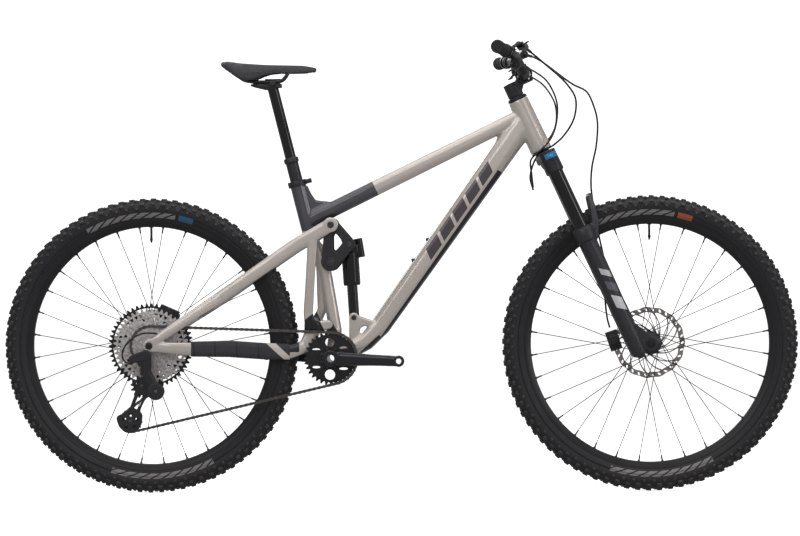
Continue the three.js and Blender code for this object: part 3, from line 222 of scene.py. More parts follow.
def makeSurfaceGroup():
    # broad tone changes, fine grain and dust that gathers on what faces up
    group, source, result = newGroup("surfaceCharacter", [
        ("Vector", "NodeSocketVector", None),
        ("Colour", "NodeSocketColor", (0.5, 0.5, 0.5, 1)),
        ("Worn Colour", "NodeSocketColor", (0.6, 0.6, 0.6, 1)),
        ("Wear", "NodeSocketFloat", 0.3),
        ("Patch Scale", "NodeSocketFloat", 12.0),
        ("Grain Scale", "NodeSocketFloat", 900.0),
        ("Roughness", "NodeSocketFloat", 0.4),
        ("Roughness Spread", "NodeSocketFloat", 0.1),
        ("Dust", "NodeSocketFloat", 0.1),
    ], [("Colour", "NodeSocketColor"), ("Roughness", "NodeSocketFloat"), ("Grain", "NodeSocketFloat")])
    patches = group.nodes.new("ShaderNodeTexNoise")
    patches.inputs["Detail"].default_value = 4
    grain = group.nodes.new("ShaderNodeTexNoise")
    grain.inputs["Detail"].default_value = 2
    for node, label in ((patches, "Patch Scale"), (grain, "Grain Scale")):
        group.links.new(source.outputs["Vector"], node.inputs["Vector"])
        group.links.new(source.outputs[label], node.inputs["Scale"])
    patchy = mathNode(group, "MULTIPLY_ADD", patches.outputs["Fac"], 2.2, -0.6, clamp=True)
    worn = mathNode(group, "MULTIPLY", patchy, source.outputs["Wear"])
    base = mixColour(group, worn, source.outputs["Colour"], source.outputs["Worn Colour"])
    facing = group.nodes.new("ShaderNodeNewGeometry")
    split = group.nodes.new("ShaderNodeSeparateXYZ")
    group.links.new(facing.outputs["Normal"], split.inputs[0])
    upward = mathNode(group, "MULTIPLY_ADD", split.outputs["Z"], 1.4, -0.5, clamp=True)
    settled = mathNode(group, "MULTIPLY", upward, patchy)
    dusty = mathNode(group, "MULTIPLY", settled, source.outputs["Dust"], clamp=True)
    colour = mixColour(group, dusty, base, (0.42, 0.39, 0.36, 1))
    swing = mathNode(group, "SUBTRACT", grain.outputs["Fac"], 0.5)
    swung = mathNode(group, "MULTIPLY", swing, source.outputs["Roughness Spread"])
    patched = mathNode(group, "MULTIPLY_ADD", patchy, source.outputs["Roughness Spread"], swung)
    rough = mathNode(group, "ADD", source.outputs["Roughness"], patched, clamp=True)
    group.links.new(colour, result.inputs["Colour"])
    group.links.new(rough, result.inputs["Roughness"])
    group.links.new(grain.outputs["Fac"], result.inputs["Grain"])
    return group


def makePlaneGroup():
    # 1 on the far side of a plane, with a soft edge
    group, source, result = newGroup("planeMask", [
        ("Vector", "NodeSocketVector", None),
        ("Facing", "NodeSocketVector", (1, 0, 0)),
        ("Distance", "NodeSocketFloat", 0.0),
        ("Softness", "NodeSocketFloat", 0.0006),
    ], [("Mask", "NodeSocketFloat")])
    along = group.nodes.new("ShaderNodeVectorMath")
    along.operation = "DOT_PRODUCT"
    group.links.new(source.outputs["Vector"], along.inputs[0])
    group.links.new(source.outputs["Facing"], along.inputs[1])
    beyond = mathNode(group, "SUBTRACT", along.outputs["Value"], source.outputs["Distance"])
    edge = mathNode(group, "DIVIDE", beyond, source.outputs["Softness"])
    group.links.new(mathNode(group, "ADD", edge, 0.5, clamp=True), result.inputs["Mask"])
    return group


def makeSectorGroup():
    # 1 between two radii and two angles about an axle that lies along Y
    group, source, result = newGroup("sectorMask", [
        ("Vector", "NodeSocketVector", None),
        ("Inner", "NodeSocketFloat", 0.1),
        ("Outer", "NodeSocketFloat", 0.2),
        ("First Angle", "NodeSocketFloat", 0.0),
        ("Last Angle", "NodeSocketFloat", 1.0),
    ], [("Mask", "NodeSocketFloat")])
    split = group.nodes.new("ShaderNodeSeparateXYZ")
    group.links.new(source.outputs["Vector"], split.inputs[0])
    angle = mathNode(group, "ARCTAN2", split.outputs["Z"], split.outputs["X"])
    width = mathNode(group, "MULTIPLY", split.outputs["X"], split.outputs["X"])
    height = mathNode(group, "MULTIPLY", split.outputs["Z"], split.outputs["Z"])
    radius = mathNode(group, "SQRT", mathNode(group, "ADD", width, height))
    mask = None
    for value, low, high in ((radius, "Inner", "Outer"), (angle, "First Angle", "Last Angle")):
        above = mathNode(group, "GREATER_THAN", value, source.outputs[low])
        below = mathNode(group, "LESS_THAN", value, source.outputs[high])
        inside = mathNode(group, "MULTIPLY", above, below)
        mask = inside if mask is None else mathNode(group, "MULTIPLY", mask, inside)
    group.links.new(mask, result.inputs["Mask"])
    return group


def makeDashGroup():
    # an even row of dashes about an axle that lies along Y
    group, source, result = newGroup("dashMask", [
        ("Vector", "NodeSocketVector", None),
        ("Count", "NodeSocketFloat", 60.0),
        ("Share", "NodeSocketFloat", 0.7),
        ("Slant", "NodeSocketFloat", 0.0),
    ], [("Mask", "NodeSocketFloat")])
    split = group.nodes.new("ShaderNodeSeparateXYZ")
    group.links.new(source.outputs["Vector"], split.inputs[0])
    angle = mathNode(group, "ARCTAN2", split.outputs["Z"], split.outputs["X"])
    width = mathNode(group, "MULTIPLY", split.outputs["X"], split.outputs["X"])
    height = mathNode(group, "MULTIPLY", split.outputs["Z"], split.outputs["Z"])
    radius = mathNode(group, "SQRT", mathNode(group, "ADD", width, height))
    leaning = mathNode(group, "MULTIPLY_ADD", radius, source.outputs["Slant"], angle)
    place = mathNode(group, "MULTIPLY", leaning, source.outputs["Count"])
    turn = mathNode(group, "FRACT", mathNode(group, "MULTIPLY", place, 1 / (2 * math.pi)))
    group.links.new(mathNode(group, "LESS_THAN", turn, source.outputs["Share"]), result.inputs["Mask"])
    return group


surfaceGroup = makeSurfaceGroup()
planeGroup = makePlaneGroup()
sectorGroup = makeSectorGroup()
dashGroup = makeDashGroup()


class Finish:
    # a material under way: its colour can be changed by masks before it is closed
    def __init__(self, name, look):
        self.material = bpy.data.materials.new(name)
        self.material.use_nodes = True
        self.tree = self.material.node_tree
        self.look = look
        self.shader = self.tree.nodes["Principled BSDF"]
        self.coords = self.tree.nodes.new("ShaderNodeTexCoord").outputs["Object"]
        surface = self.tree.nodes.new("ShaderNodeGroup")
        surface.node_tree = surfaceGroup
        self.tree.links.new(self.coords, surface.inputs["Vector"])
        surface.inputs["Colour"].default_value = look["colour"]
        surface.inputs["Worn Colour"].default_value = look.get("worn", look["colour"])
        surface.inputs["Wear"].default_value = look.get("wear", 0.4)
        surface.inputs["Patch Scale"].default_value = look.get("patches", 14)
        surface.inputs["Grain Scale"].default_value = look.get("grainScale", 900)
        surface.inputs["Roughness"].default_value = look["rough"]
        surface.inputs["Roughness Spread"].default_value = look.get("spread", 0.1)
        surface.inputs["Dust"].default_value = look.get("dust", 0.06)
        self.surface = surface
        self.colour = surface.outputs["Colour"]
        self.height = surface.outputs["Grain"]

    def shifted(self, centre):
        mapping = self.tree.nodes.new("ShaderNodeMapping")
        mapping.inputs["Location"].default_value = [-value for value in centre]
        self.tree.links.new(self.coords, mapping.inputs["Vector"])
        return mapping.outputs["Vector"]

    def beyond(self, facing, distance, soft=0.0006):
        node = self.tree.nodes.new("ShaderNodeGroup")
        node.node_tree = planeGroup
        self.tree.links.new(self.coords, node.inputs["Vector"])
        node.inputs["Facing"].default_value = facing
        node.inputs["Distance"].default_value = distance
        node.inputs["Softness"].default_value = soft
        return node.outputs["Mask"]

    def sector(self, vector, inner, outer, first, last):
        node = self.tree.nodes.new("ShaderNodeGroup")
        node.node_tree = sectorGroup
        self.tree.links.new(vector, node.inputs["Vector"])
        for label, value in (("Inner", inner), ("Outer", outer)):
            node.inputs[label].default_value = value
        for label, value in (("First Angle", first), ("Last Angle", last)):
            node.inputs[label].default_value = math.radians(value)
        return node.outputs["Mask"]

    def dashes(self, vector, count, share, slant):
        node = self.tree.nodes.new("ShaderNodeGroup")
        node.node_tree = dashGroup
        self.tree.links.new(vector, node.inputs["Vector"])
        for label, value in (("Count", count), ("Share", share), ("Slant", slant)):
            node.inputs[label].default_value = value
        return node.outputs["Mask"]

    def both(self, first, *others):
        for other in others:
            first = mathNode(self.tree, "MULTIPLY", first, other)
        return first

    def without(self, mask):
        return mathNode(self.tree, "SUBTRACT", 1, mask)

    def paint(self, mask, colour):
        self.colour = mixColour(self.tree, mask, self.colour, colour)

    def close(self):
        look = self.look
        self.tree.links.new(self.colour, self.shader.inputs["Base Color"])
        self.tree.links.new(self.surface.outputs["Roughness"], self.shader.inputs["Roughness"])
        self.shader.inputs["Metallic"].default_value = look.get("metal", 0)
        self.shader.inputs["Coat Weight"].default_value = look.get("coat", 0)
        self.shader.inputs["Coat Roughness"].default_value = look.get("coatRough", 0.15)
        bump = self.tree.nodes.new("ShaderNodeBump")
        bump.inputs["Strength"].default_value = look.get("bump", 0.15)
        bump.inputs["Distance"].default_value = look.get("depth", 0.0003)
        self.tree.links.new(self.height, bump.inputs["Height"])
        self.tree.links.new(bump.outputs["Normal"], self.shader.inputs["Normal"])
        return self.material


def plain(name, **look):
    return Finish(name, look).close()


# ---------- materials ----------

champagneTone = linear(212, 203, 196)
framesDark = linear(84, 82, 88)
bellyDark = linear(46, 42, 46)


def champagnePaint(name, zones):
    finish = Finish(name, {
        "colour": champagneTone, "worn": linear(196, 186, 181), "wear": 0.35, "patches": 5, "rough": 0.27,
        "spread": 0.08, "metal": 0.45, "coat": 0.5, "grainScale": 1600, "bump": 0.05, "depth": 0.0001,
        "dust": 0.02})
    zones(finish)
    return finish.close()


downTube = {
    "foot": (bracket.x + 0.122, 0, bracket.z + 0.079),
    "head": steer(0, 0, 641)[:],
    "bars": [(0.214, 0.262), (0.272, 0.318), (0.328, 0.374), (0.384, 0.43), (0.44, 0.484)],
    "barHigh": -0.0165,
    "barLow": 0.0095,
    "bellyDepth": 0.0165,
}


def frameZones(finish):
    # dark rear of the top tube and top of the seat tube, a dark belly and slanted bars on the down tube
    slant = Vector((0.9, 0, 0.44)).normalized()
    behind = finish.without(finish.beyond(slant, 0.2803))
    above = finish.beyond((0, 0, 1), 0.655)
    finish.paint(finish.both(behind, above), framesDark)
    foot = Vector(downTube["foot"])
    along = (Vector(downTube["head"]) - foot).normalized()
    out = Vector((along.z, 0, -along.x))
    level = foot.dot(out)
    belly = finish.both(finish.beyond(out, level + downTube["bellyDepth"]),
                        finish.beyond(along, foot.dot(along) - 0.02))
    finish.paint(finish.both(belly, finish.without(finish.beyond(along, foot.dot(along) + 0.49))), bellyDark)
    lower = (foot - Vector((bracket.x + 0.01, 0, bracket.z - 0.022))).normalized()
    lowerOut = Vector((lower.z, 0, -lower.x))
    shell = finish.both(finish.beyond(lowerOut, foot.dot(lowerOut) + 0.014),
                        finish.without(finish.beyond(along, foot.dot(along) - 0.02)),
                        finish.beyond((1, 0, 0), bracket.x + 0.026))
    finish.paint(shell, bellyDark)
    lean = (along * 0.86 + out * 0.5).normalized()
    high = finish.beyond(out, level + downTube["barHigh"])
    low = finish.without(finish.beyond(out, level + downTube["barLow"]))
    for first, last in downTube["bars"]:
        near, far = (foot.dot(lean) + reach * 0.864 for reach in (first, last))
        finish.paint(finish.both(finish.beyond(lean, near), finish.without(finish.beyond(lean, far)), low,
                                 high),
                     linear(84, 78, 82))


def stayZones(finish):
    # a short plain mark on the upper stay, and black covers at the foot of the strut
    along = Vector((0.868, 0, 0.497))
    finish.paint(finish.both(
        finish.beyond(along, rearAxle.dot(along) + 0.142),
        finish.without(finish.beyond(along, rearAxle.dot(along) + 0.186)),
        finish.beyond((-0.497, 0, 0.868), 0.6305), finish.without(finish.beyond((-0.497, 0, 0.868), 0.6330))),
        linear(96, 90, 92))
    cover = finish.both(
        finish.beyond((0, 0, 1), 0.399), finish.without(finish.beyond((-0.62, 0, 0.785), 0.487)),
        finish.without(finish.beyond((0.894, 0, 0.447), 0.0125)), finish.beyond((1, 0, 0), -0.247))
    finish.paint(cover, linear(30, 29, 32))
    lower = finish.both(
        finish.beyond((0.68, 0, 0.733), 0.0633), finish.beyond((0, 0, 1), 0.352),
        finish.without(finish.beyond((1, 0, 0), -0.252)), finish.without(finish.beyond((0, 0, 1), 0.392)),
        finish.beyond((0, -1, 0), 0.02))
    finish.paint(lower, linear(46, 45, 49))


mainPaint = champagnePaint("champagneMainFrame", frameZones)
stayPaint = champagnePaint("champagneStays", stayZones)
satinBlack = plain("satinBlack", colour=linear(38, 37, 41), worn=linear(52, 51, 55), rough=0.38, spread=0.14,
                   metal=0.25, coat=0.15, bump=0.08)
deepBlack = plain("deepBlack", colour=linear(24, 23, 27), worn=linear(36, 35, 39), rough=0.45, spread=0.15,
                  metal=0.2)
forgedAlloy = plain("forgedAlloy", colour=linear(34, 33, 38), worn=linear(48, 47, 53), rough=0.2, spread=0.1,
                    metal=0.5, coat=0.5, bump=0.04)
slickBlack = plain("slickBlack", colour=linear(13, 12, 16), worn=linear(18, 17, 21), rough=0.1, spread=0.05,
                   metal=0.4, coat=0.6, bump=0.02, dust=0.03)
chainSteel = plain("chainSteel", colour=linear(112, 108, 106), worn=linear(70, 66, 64), wear=0.8, patches=60,
                   rough=0.32, spread=0.2, metal=0.95)
cogSteel = plain("cogSteel", colour=linear(228, 223, 222), worn=linear(150, 142, 140), wear=0.8, patches=160,
                 rough=0.24, spread=0.2, metal=0.58, grainScale=420, bump=0.7, depth=0.0012)
cogBlack = plain("cogBlack", colour=linear(34, 33, 37), worn=linear(84, 82, 84), wear=0.35, patches=70,
                 rough=0.4,
                 spread=0.15, metal=0.6)
rotorSteel = plain("rotorSteel", colour=linear(176, 170, 168), worn=linear(104, 98, 96), wear=0.7, patches=35,
                   rough=0.3, spread=0.2, metal=0.95, grainScale=2400, bump=0.12)
spokeBlack = plain("spokeBlack", colour=linear(46, 44, 46), worn=linear(78, 75, 76), rough=0.35, spread=0.1,
                   metal=0.8)
rimBlack = plain("rimBlack", colour=linear(27, 26, 30), worn=linear(40, 39, 42), rough=0.36, spread=0.12,
                 metal=0.3,
                 coat=0.1)
gripRubber = plain("gripRubber", colour=linear(36, 35, 38), worn=linear(52, 50, 53), rough=0.8, spread=0.12,
                   grainScale=1400, bump=0.4)


def makeGuardRubber():
    # ribbed rubber with a slanted bare stripe near its front end; the ribs are only dark lines of painted shade
    finish = Finish("guardRubber", {
        "colour": linear(50, 49, 54), "worn": linear(66, 64, 69), "rough": 0.62, "spread": 0.12,
        "grainScale": 1500, "bump": 0.35})
    slant = Vector((0.68, 0, 0.733))
    finish.paint(finish.both(finish.beyond(slant, 0.0477), finish.without(finish.beyond(slant, 0.0633))),
                 champagneTone)
    # painted shade: dark lines across the guard where the grooves between its ribs would be shaded
    for station in (-0.513, -0.461, -0.407, -0.353):
        finish.paint(finish.both(finish.beyond((1, 0, 0.05), station + 0.0165),
                                 finish.without(finish.beyond((1, 0, 0.05), station + 0.0190))),
                                 linear(20, 19, 22))
    return finish.close()


guardRubber = makeGuardRubber()
controlPlastic = plain("controlPlastic", colour=linear(30, 30, 33), worn=linear(46, 45, 49), rough=0.5,
                       spread=0.12,
                       grainScale=1800, bump=0.2)
hosePlastic = plain("hosePlastic", colour=linear(28, 27, 30), worn=linear(42, 41, 44), rough=0.36, spread=0.1,
                    grainScale=1500, bump=0.1)
railSteel = plain("railSteel", colour=linear(120, 118, 118), worn=linear(86, 84, 84), rough=0.26, spread=0.1,
                  metal=0.9)
boltSteel = plain("boltSteel", colour=linear(70, 68, 70), worn=linear(110, 107, 106), wear=0.5, patches=90,
                  rough=0.3,
                  spread=0.15, metal=0.9)



tyreMarks = {
    "inner": 0.321,
    "outer": 0.334,
    "spans": [(79, 119), (-108, -62)],
    "count": 72,
    "share": 0.74,
    "tab": (71, 77.5),
}


def makeTyreRubber(name, axle, markTone):
    # black rubber, its own black kept a little darker as painted shade for the gaps between the knobs, with a row of
    # plain dashes and one coloured tab on each shoulder
    finish = Finish(name, {
        "colour": linear(29, 28, 32), "worn": linear(42, 41, 45), "wear": 0.5, "patches": 22, "rough": 0.55,
        "spread": 0.16, "grainScale": 1300, "bump": 0.25, "dust": 0.04})
    centred = finish.shifted(axle)
    dashes = finish.dashes(centred, tyreMarks["count"], tyreMarks["share"], 6.0)
    for first, last in tyreMarks["spans"]:
        row = finish.sector(centred, tyreMarks["inner"], tyreMarks["outer"], first, last)
        finish.paint(finish.both(row, dashes), linear(138, 134, 134))
    finish.paint(finish.sector(centred, tyreMarks["inner"] - 0.001, tyreMarks["outer"], *tyreMarks["tab"]),
                 markTone)
    for first, last in ((86, 94), (-94, -86)):
        finish.paint(finish.sector(centred, 0.3115, 0.3145, first, last), linear(92, 90, 92))
    return finish.close()


def makeCrownPaint():
    # satin black with a blue block at the front of the crown's upper edge
    finish = Finish("forkCrownPaint", {
        "colour": linear(36, 35, 39), "worn": linear(48, 47, 52), "rough": 0.36, "spread": 0.14,
        "metal": 0.25,
        "coat": 0.15, "bump": 0.08})
    front, foot = steerFoot.dot(steerAhead), steerFoot.dot(steerUp)
    block = finish.both(
        finish.beyond(steerAhead, front - 1 * mm), finish.beyond(steerUp, foot + 522 * mm),
        finish.without(finish.beyond(steerUp, foot + 536 * mm)))
    finish.paint(block, linear(38, 128, 180))
    return finish.close()


crownPaint = makeCrownPaint()


def makeForkPaint():
    # pale slashes down the outside of each leg
    finish = Finish("forkLowerPaint", {
        "colour": linear(45, 44, 50), "worn": linear(56, 55, 61), "rough": 0.42, "spread": 0.12, "metal": 0.2,
        "coat": 0.12, "bump": 0.05})
    lean = (steerUp * 0.8 + steerAhead * 0.6).normalized()
    base = steerFoot.dot(lean)
    front = steerFoot.dot(steerAhead)
    tones = (linear(196, 196, 200), linear(96, 98, 106), linear(206, 206, 210))
    for (low, high), tone in zip(forkMarks, tones):
        outer = finish.both(
            finish.beyond(lean, base + low * mm), finish.without(finish.beyond(lean, base + high * mm)),
            finish.beyond(steerAhead, front + 4 * mm),
            finish.without(finish.beyond(steerAhead, front + 26 * mm)))
        for side in (-1, 1):
            finish.paint(finish.both(outer, finish.beyond((0, side, 0), 0.078)), tone)
    return finish.close()


forkMarks = [(168, 182), (136, 154), (96, 124)]
forkPaint = makeForkPaint()
# the knob rubber is painted lighter than the carcass as a painted highlight on the knobs' edges, and it carries real
# dust
knobRubberHighlightAndDust = plain("knobRubberHighlightAndDust", colour=linear(48, 46, 49), worn=linear(84, 80, 80), wear=0.6, patches=260,
                    rough=0.6, spread=0.16, grainScale=1300, bump=0.3, dust=0.25)
saddleCloth = plain("saddleCover", colour=linear(52, 51, 56), worn=linear(64, 63, 68), rough=0.58,
                    spread=0.12,
                    grainScale=2600, bump=0.5, depth=0.0004, dust=0.03)
print("materials ready")


# ---------- making and placing pieces ----------

def asPiece(name, bm, material, body=None, replaces=(), sharp=34, recalc=True):
    if recalc:
        bmesh.ops.recalc_face_normals(bm, faces=bm.faces)
    limit = math.radians(sharp)
    for face in bm.faces:
        face.smooth = True
    for edge in bm.edges:
        if len(edge.link_faces) != 2 or edge.calc_face_angle(0) > limit:
            edge.smooth = False
    mesh = bpy.data.meshes.new(name)
    bm.to_mesh(mesh)
    bm.free()
    mesh.materials.append(material)
    piece = bpy.data.objects.new(name, mesh)
    bpy.context.collection.objects.link(piece)
    if body:
        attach(piece, body)
    if replaces:
        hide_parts(*replaces)
    return piece


def lathe(bm, foot, direction, profile, steps=48, loop=False):
    # turns (distance along, radius) pairs, in mm, about an axis; a loop closes on itself
    direction = Vector(direction).normalized()
    out = direction.orthogonal().normalized()
    verts = [bm.verts.new(Vector(foot) + (direction * along + out * radius) * mm) for along,
             radius in profile]
    ends = zip(verts, verts[1:] + verts[:1]) if loop else zip(verts, verts[1:])
    edges = [bm.edges.new(pair) for pair in ends]
    spun = bmesh.ops.spin(bm, geom=verts + edges, cent=foot, axis=direction, angle=2 * math.pi, steps=steps,
                          use_merge=True)
    near = {vert for item in spun["geom_last"] if isinstance(item, bmesh.types.BMVert) for vert in (item,)}
    poles = [v for v in bm.verts if (v.co - Vector(foot)).cross(direction).length < 1e-6]
    bmesh.ops.remove_doubles(bm, verts=list(set(verts) | near | set(poles)), dist=1e-6)


def plateFrom(bm, outline, low, high, holes=()):
    # a flat plate across Y: its outline and holes are (x, z) points in metres, its faces at low and high
    edges = []
    for ring in (outline, *holes):
        verts = [bm.verts.new((x, low, z)) for x, z in ring]
        edges += [bm.edges.new(pair) for pair in zip(verts, verts[1:] + verts[:1])]
    filled = bmesh.ops.triangle_fill(bm, use_beauty=True, use_dissolve=False, edges=edges)
    faces = [item for item in filled["geom"] if isinstance(item, bmesh.types.BMFace)]
    raised = bmesh.ops.extrude_face_region(bm, geom=faces, use_keep_orig=True)
    moved = [item for item in raised["geom"] if isinstance(item, bmesh.types.BMVert)]
    bmesh.ops.translate(bm, verts=moved, vec=(0, high - low, 0))


def ringPoints(centre, radius, count=24, start=0.0, sweep=2 * math.pi):
    whole = abs(sweep) >= 2 * math.pi - 1e-9
    steps = count if whole else count - 1
    return [(centre.x + radius * math.cos(start + sweep * i / steps),
             centre.z + radius * math.sin(start + sweep * i / steps)) for i in range(count)]


def softened(points, rounds=2):
    # cuts the corners of a closed outline
    for _ in range(rounds):
        points = [(a[0] + (b[0] - a[0]) * share, a[1] + (b[1] - a[1]) * share)
                  for a, b in zip(points, points[1:] + points[:1]) for share in (0.2, 0.8)]
    return points


def block(bm, size, place):
    made = bmesh.ops.create_cube(bm, size=1,
                                 matrix=place @ Matrix.Diagonal((*[value * mm for value in size], 1)))
    return made["verts"]


def smoothPath(points, count):
    # a centripetal curve through given points
    points = [Vector(point) for point in points]
    padded = [points[0] * 2 - points[1], *points, points[-1] * 2 - points[-2]]
    spans = len(points) - 1
    path = []
    for i in range(count + 1):
        place = min(i * spans / count, spans - 1e-9)
        index = int(place)
        p = padded[index:index + 4]
        knots = [0.0]
        for a, b in zip(p, p[1:]):
            knots.append(knots[-1] + max((b - a).length, 1e-9) ** 0.5)
        t = knots[1] + (place - index) * (knots[2] - knots[1])

        def between(a, b, low, high):
            return a * ((high - t) / (high - low)) + b * ((t - low) / (high - low))

        a1, a2, a3 = (between(p[k], p[k + 1], knots[k], knots[k + 1]) for k in range(3))
        b1, b2 = between(a1, a2, knots[0], knots[2]), between(a2, a3, knots[1], knots[3])
        path.append(between(b1, b2, knots[1], knots[2]))
    return path


def tube(bm, path, radii, sides=12):
    # extrudes a ring of vertices along a path, turning it with the path
    if isinstance(radii, (int, float)):
        radii = [radii] * len(path)
    headings = [(path[min(i + 1, len(path) - 1)] - path[max(i - 1,
                                                            0)]).normalized() for i in range(len(path))]
    out = headings[0].orthogonal().normalized()
    made = bmesh.ops.create_circle(bm, cap_ends=True, radius=1, segments=sides)
    ring = made["verts"]
    flat = [vert.co.copy() for vert in ring]

    def place(verts, i):
        nonlocal out
        out = (out - headings[i] * out.dot(headings[i])).normalized()
        other = headings[i].cross(out)
        for vert, co in zip(verts, flat):
            vert.co = path[i] + (out * co.x + other * co.y) * radii[i] * mm

    place(ring, 0)
    edges = [edge for edge in bm.edges if all(vert in ring for vert in edge.verts)]
    for i in range(1, len(path)):
        grown = bmesh.ops.extrude_edge_only(bm, edges=edges)["geom"]
        edges = [item for item in grown if isinstance(item, bmesh.types.BMEdge)]
        fresh = [item for item in grown if isinstance(item, bmesh.types.BMVert)]
        links = {}
        for vert in fresh:
            for edge in vert.link_edges:
                other = edge.other_vert(vert)
                if other in ring:
                    links[other] = vert
        ring = [links[vert] for vert in ring]
        place(ring, i)
    bm.faces.new(ring)


def cadCopy(nodes):
    bm = bmesh.new()
    for node in nodes:
        bm.from_mesh(frame["nodes"][node].data)
    bmesh.ops.remove_doubles(bm, verts=bm.verts, dist=2e-5)
    return bm


def fused(name, nodes, voxel, rounds, material, body, sharp=50, strength=0.5, window=None):
    # one cast or welded skin over the nodes' solids: remeshed, then eased so that joins become fillets;
    # a window is a ring of (x, z) points, in mm, that is cut right through
    bm = cadCopy(nodes)
    bmesh.ops.recalc_face_normals(bm, faces=bm.faces)
    mesh = bpy.data.meshes.new(name)
    bm.to_mesh(mesh)
    bm.free()
    rough = bpy.data.objects.new(name + "Rough", mesh)
    bpy.context.collection.objects.link(rough)
    if window:
        cutter = bmesh.new()
        plateFrom(cutter, [(x * mm, z * mm) for x, z in softened(window)], -0.1, 0.1)
        bmesh.ops.recalc_face_normals(cutter, faces=cutter.faces)
        cutMesh = bpy.data.meshes.new(name + "Cut")
        cutter.to_mesh(cutMesh)
        cutter.free()
        knife = bpy.data.objects.new(name + "Cut", cutMesh)
        bpy.context.collection.objects.link(knife)
        opening = rough.modifiers.new("window", "BOOLEAN")
        opening.operation = "DIFFERENCE"
        opening.object = knife
    remesh = rough.modifiers.new("skin", "REMESH")
    remesh.mode = "VOXEL"
    remesh.voxel_size = voxel * mm
    remesh.use_smooth_shade = True
    ease = rough.modifiers.new("ease", "SMOOTH")
    ease.factor = strength
    ease.iterations = rounds
    made = bpy.data.meshes.new_from_object(rough.evaluated_get(bpy.context.evaluated_depsgraph_get()))
    bpy.data.objects.remove(rough)
    if window:
        bpy.data.objects.remove(knife)
    bm = bmesh.new()
    bm.from_mesh(made)
    bpy.data.meshes.remove(made)
    return asPiece(name, bm, material, body, nodes, sharp=sharp, recalc=False)


def crisp(name, nodes, bevel, material, body, angle=30):
    # a machined look: the node's own faces with small bevels on its hard edges
    bm = cadCopy(nodes)
    bmesh.ops.dissolve_limit(bm, angle_limit=math.radians(1.5), verts=bm.verts, edges=bm.edges)
    hard = [edge for edge in bm.edges if len(edge.link_faces) == 2 and edge.calc_face_angle(0) > math.radians(angle)]
    bmesh.ops.bevel(bm, geom=hard, offset=bevel * mm, affect="EDGES", segments=2, profile=0.5, material=-1,
                    clamp_overlap=True)
    return asPiece(name, bm, material, body, nodes)


def socketBolt(bm, foot, direction, head=4.5, height=4):
    # a round head with a hollow for the key
    lathe(bm, foot, direction, [(0, 0), (0, head), (height - 0.6, head), (height, head - 0.6),
                                (height, 0.55 * head),
                                (0.4 * height, 0.5 * head), (0.4 * height, 0)], steps=16)


# ---------- wheels ----------

tyre = {
    "edge": 370,
    "rim": 316,
    "half": 30.5,
    "knobHeight": 4.2,
    "repeats": 84,
}


def knobAt(bm, across, lean, size, height, turn=0.0, stagger=0.0):
    # one tapered block standing on the tread at the wheel's top, then moved round by the caller
    base = tyre["edge"] - tyre["knobHeight"]
    drop = base - (math.cos(math.radians(lean)) * 30 + base - 30)
    place = (Matrix.Translation(Vector((stagger, across, base - drop - 1.2)) * mm)
             @ Matrix.Rotation(-math.radians(lean), 4, "X") @ Matrix.Rotation(math.radians(turn), 4, "Z"))
    verts = block(bm, (size[0], size[1], height + 1.2),
                  place @ Matrix.Translation((0, 0, (height + 1.2) / 2 * mm)))
    inverse = place.inverted()
    for vert in verts:
        local = inverse @ vert.co
        if local.z > 0.5 * height * mm:
            local.x *= 0.8
            local.y *= 0.8
            vert.co = place @ local
    return verts


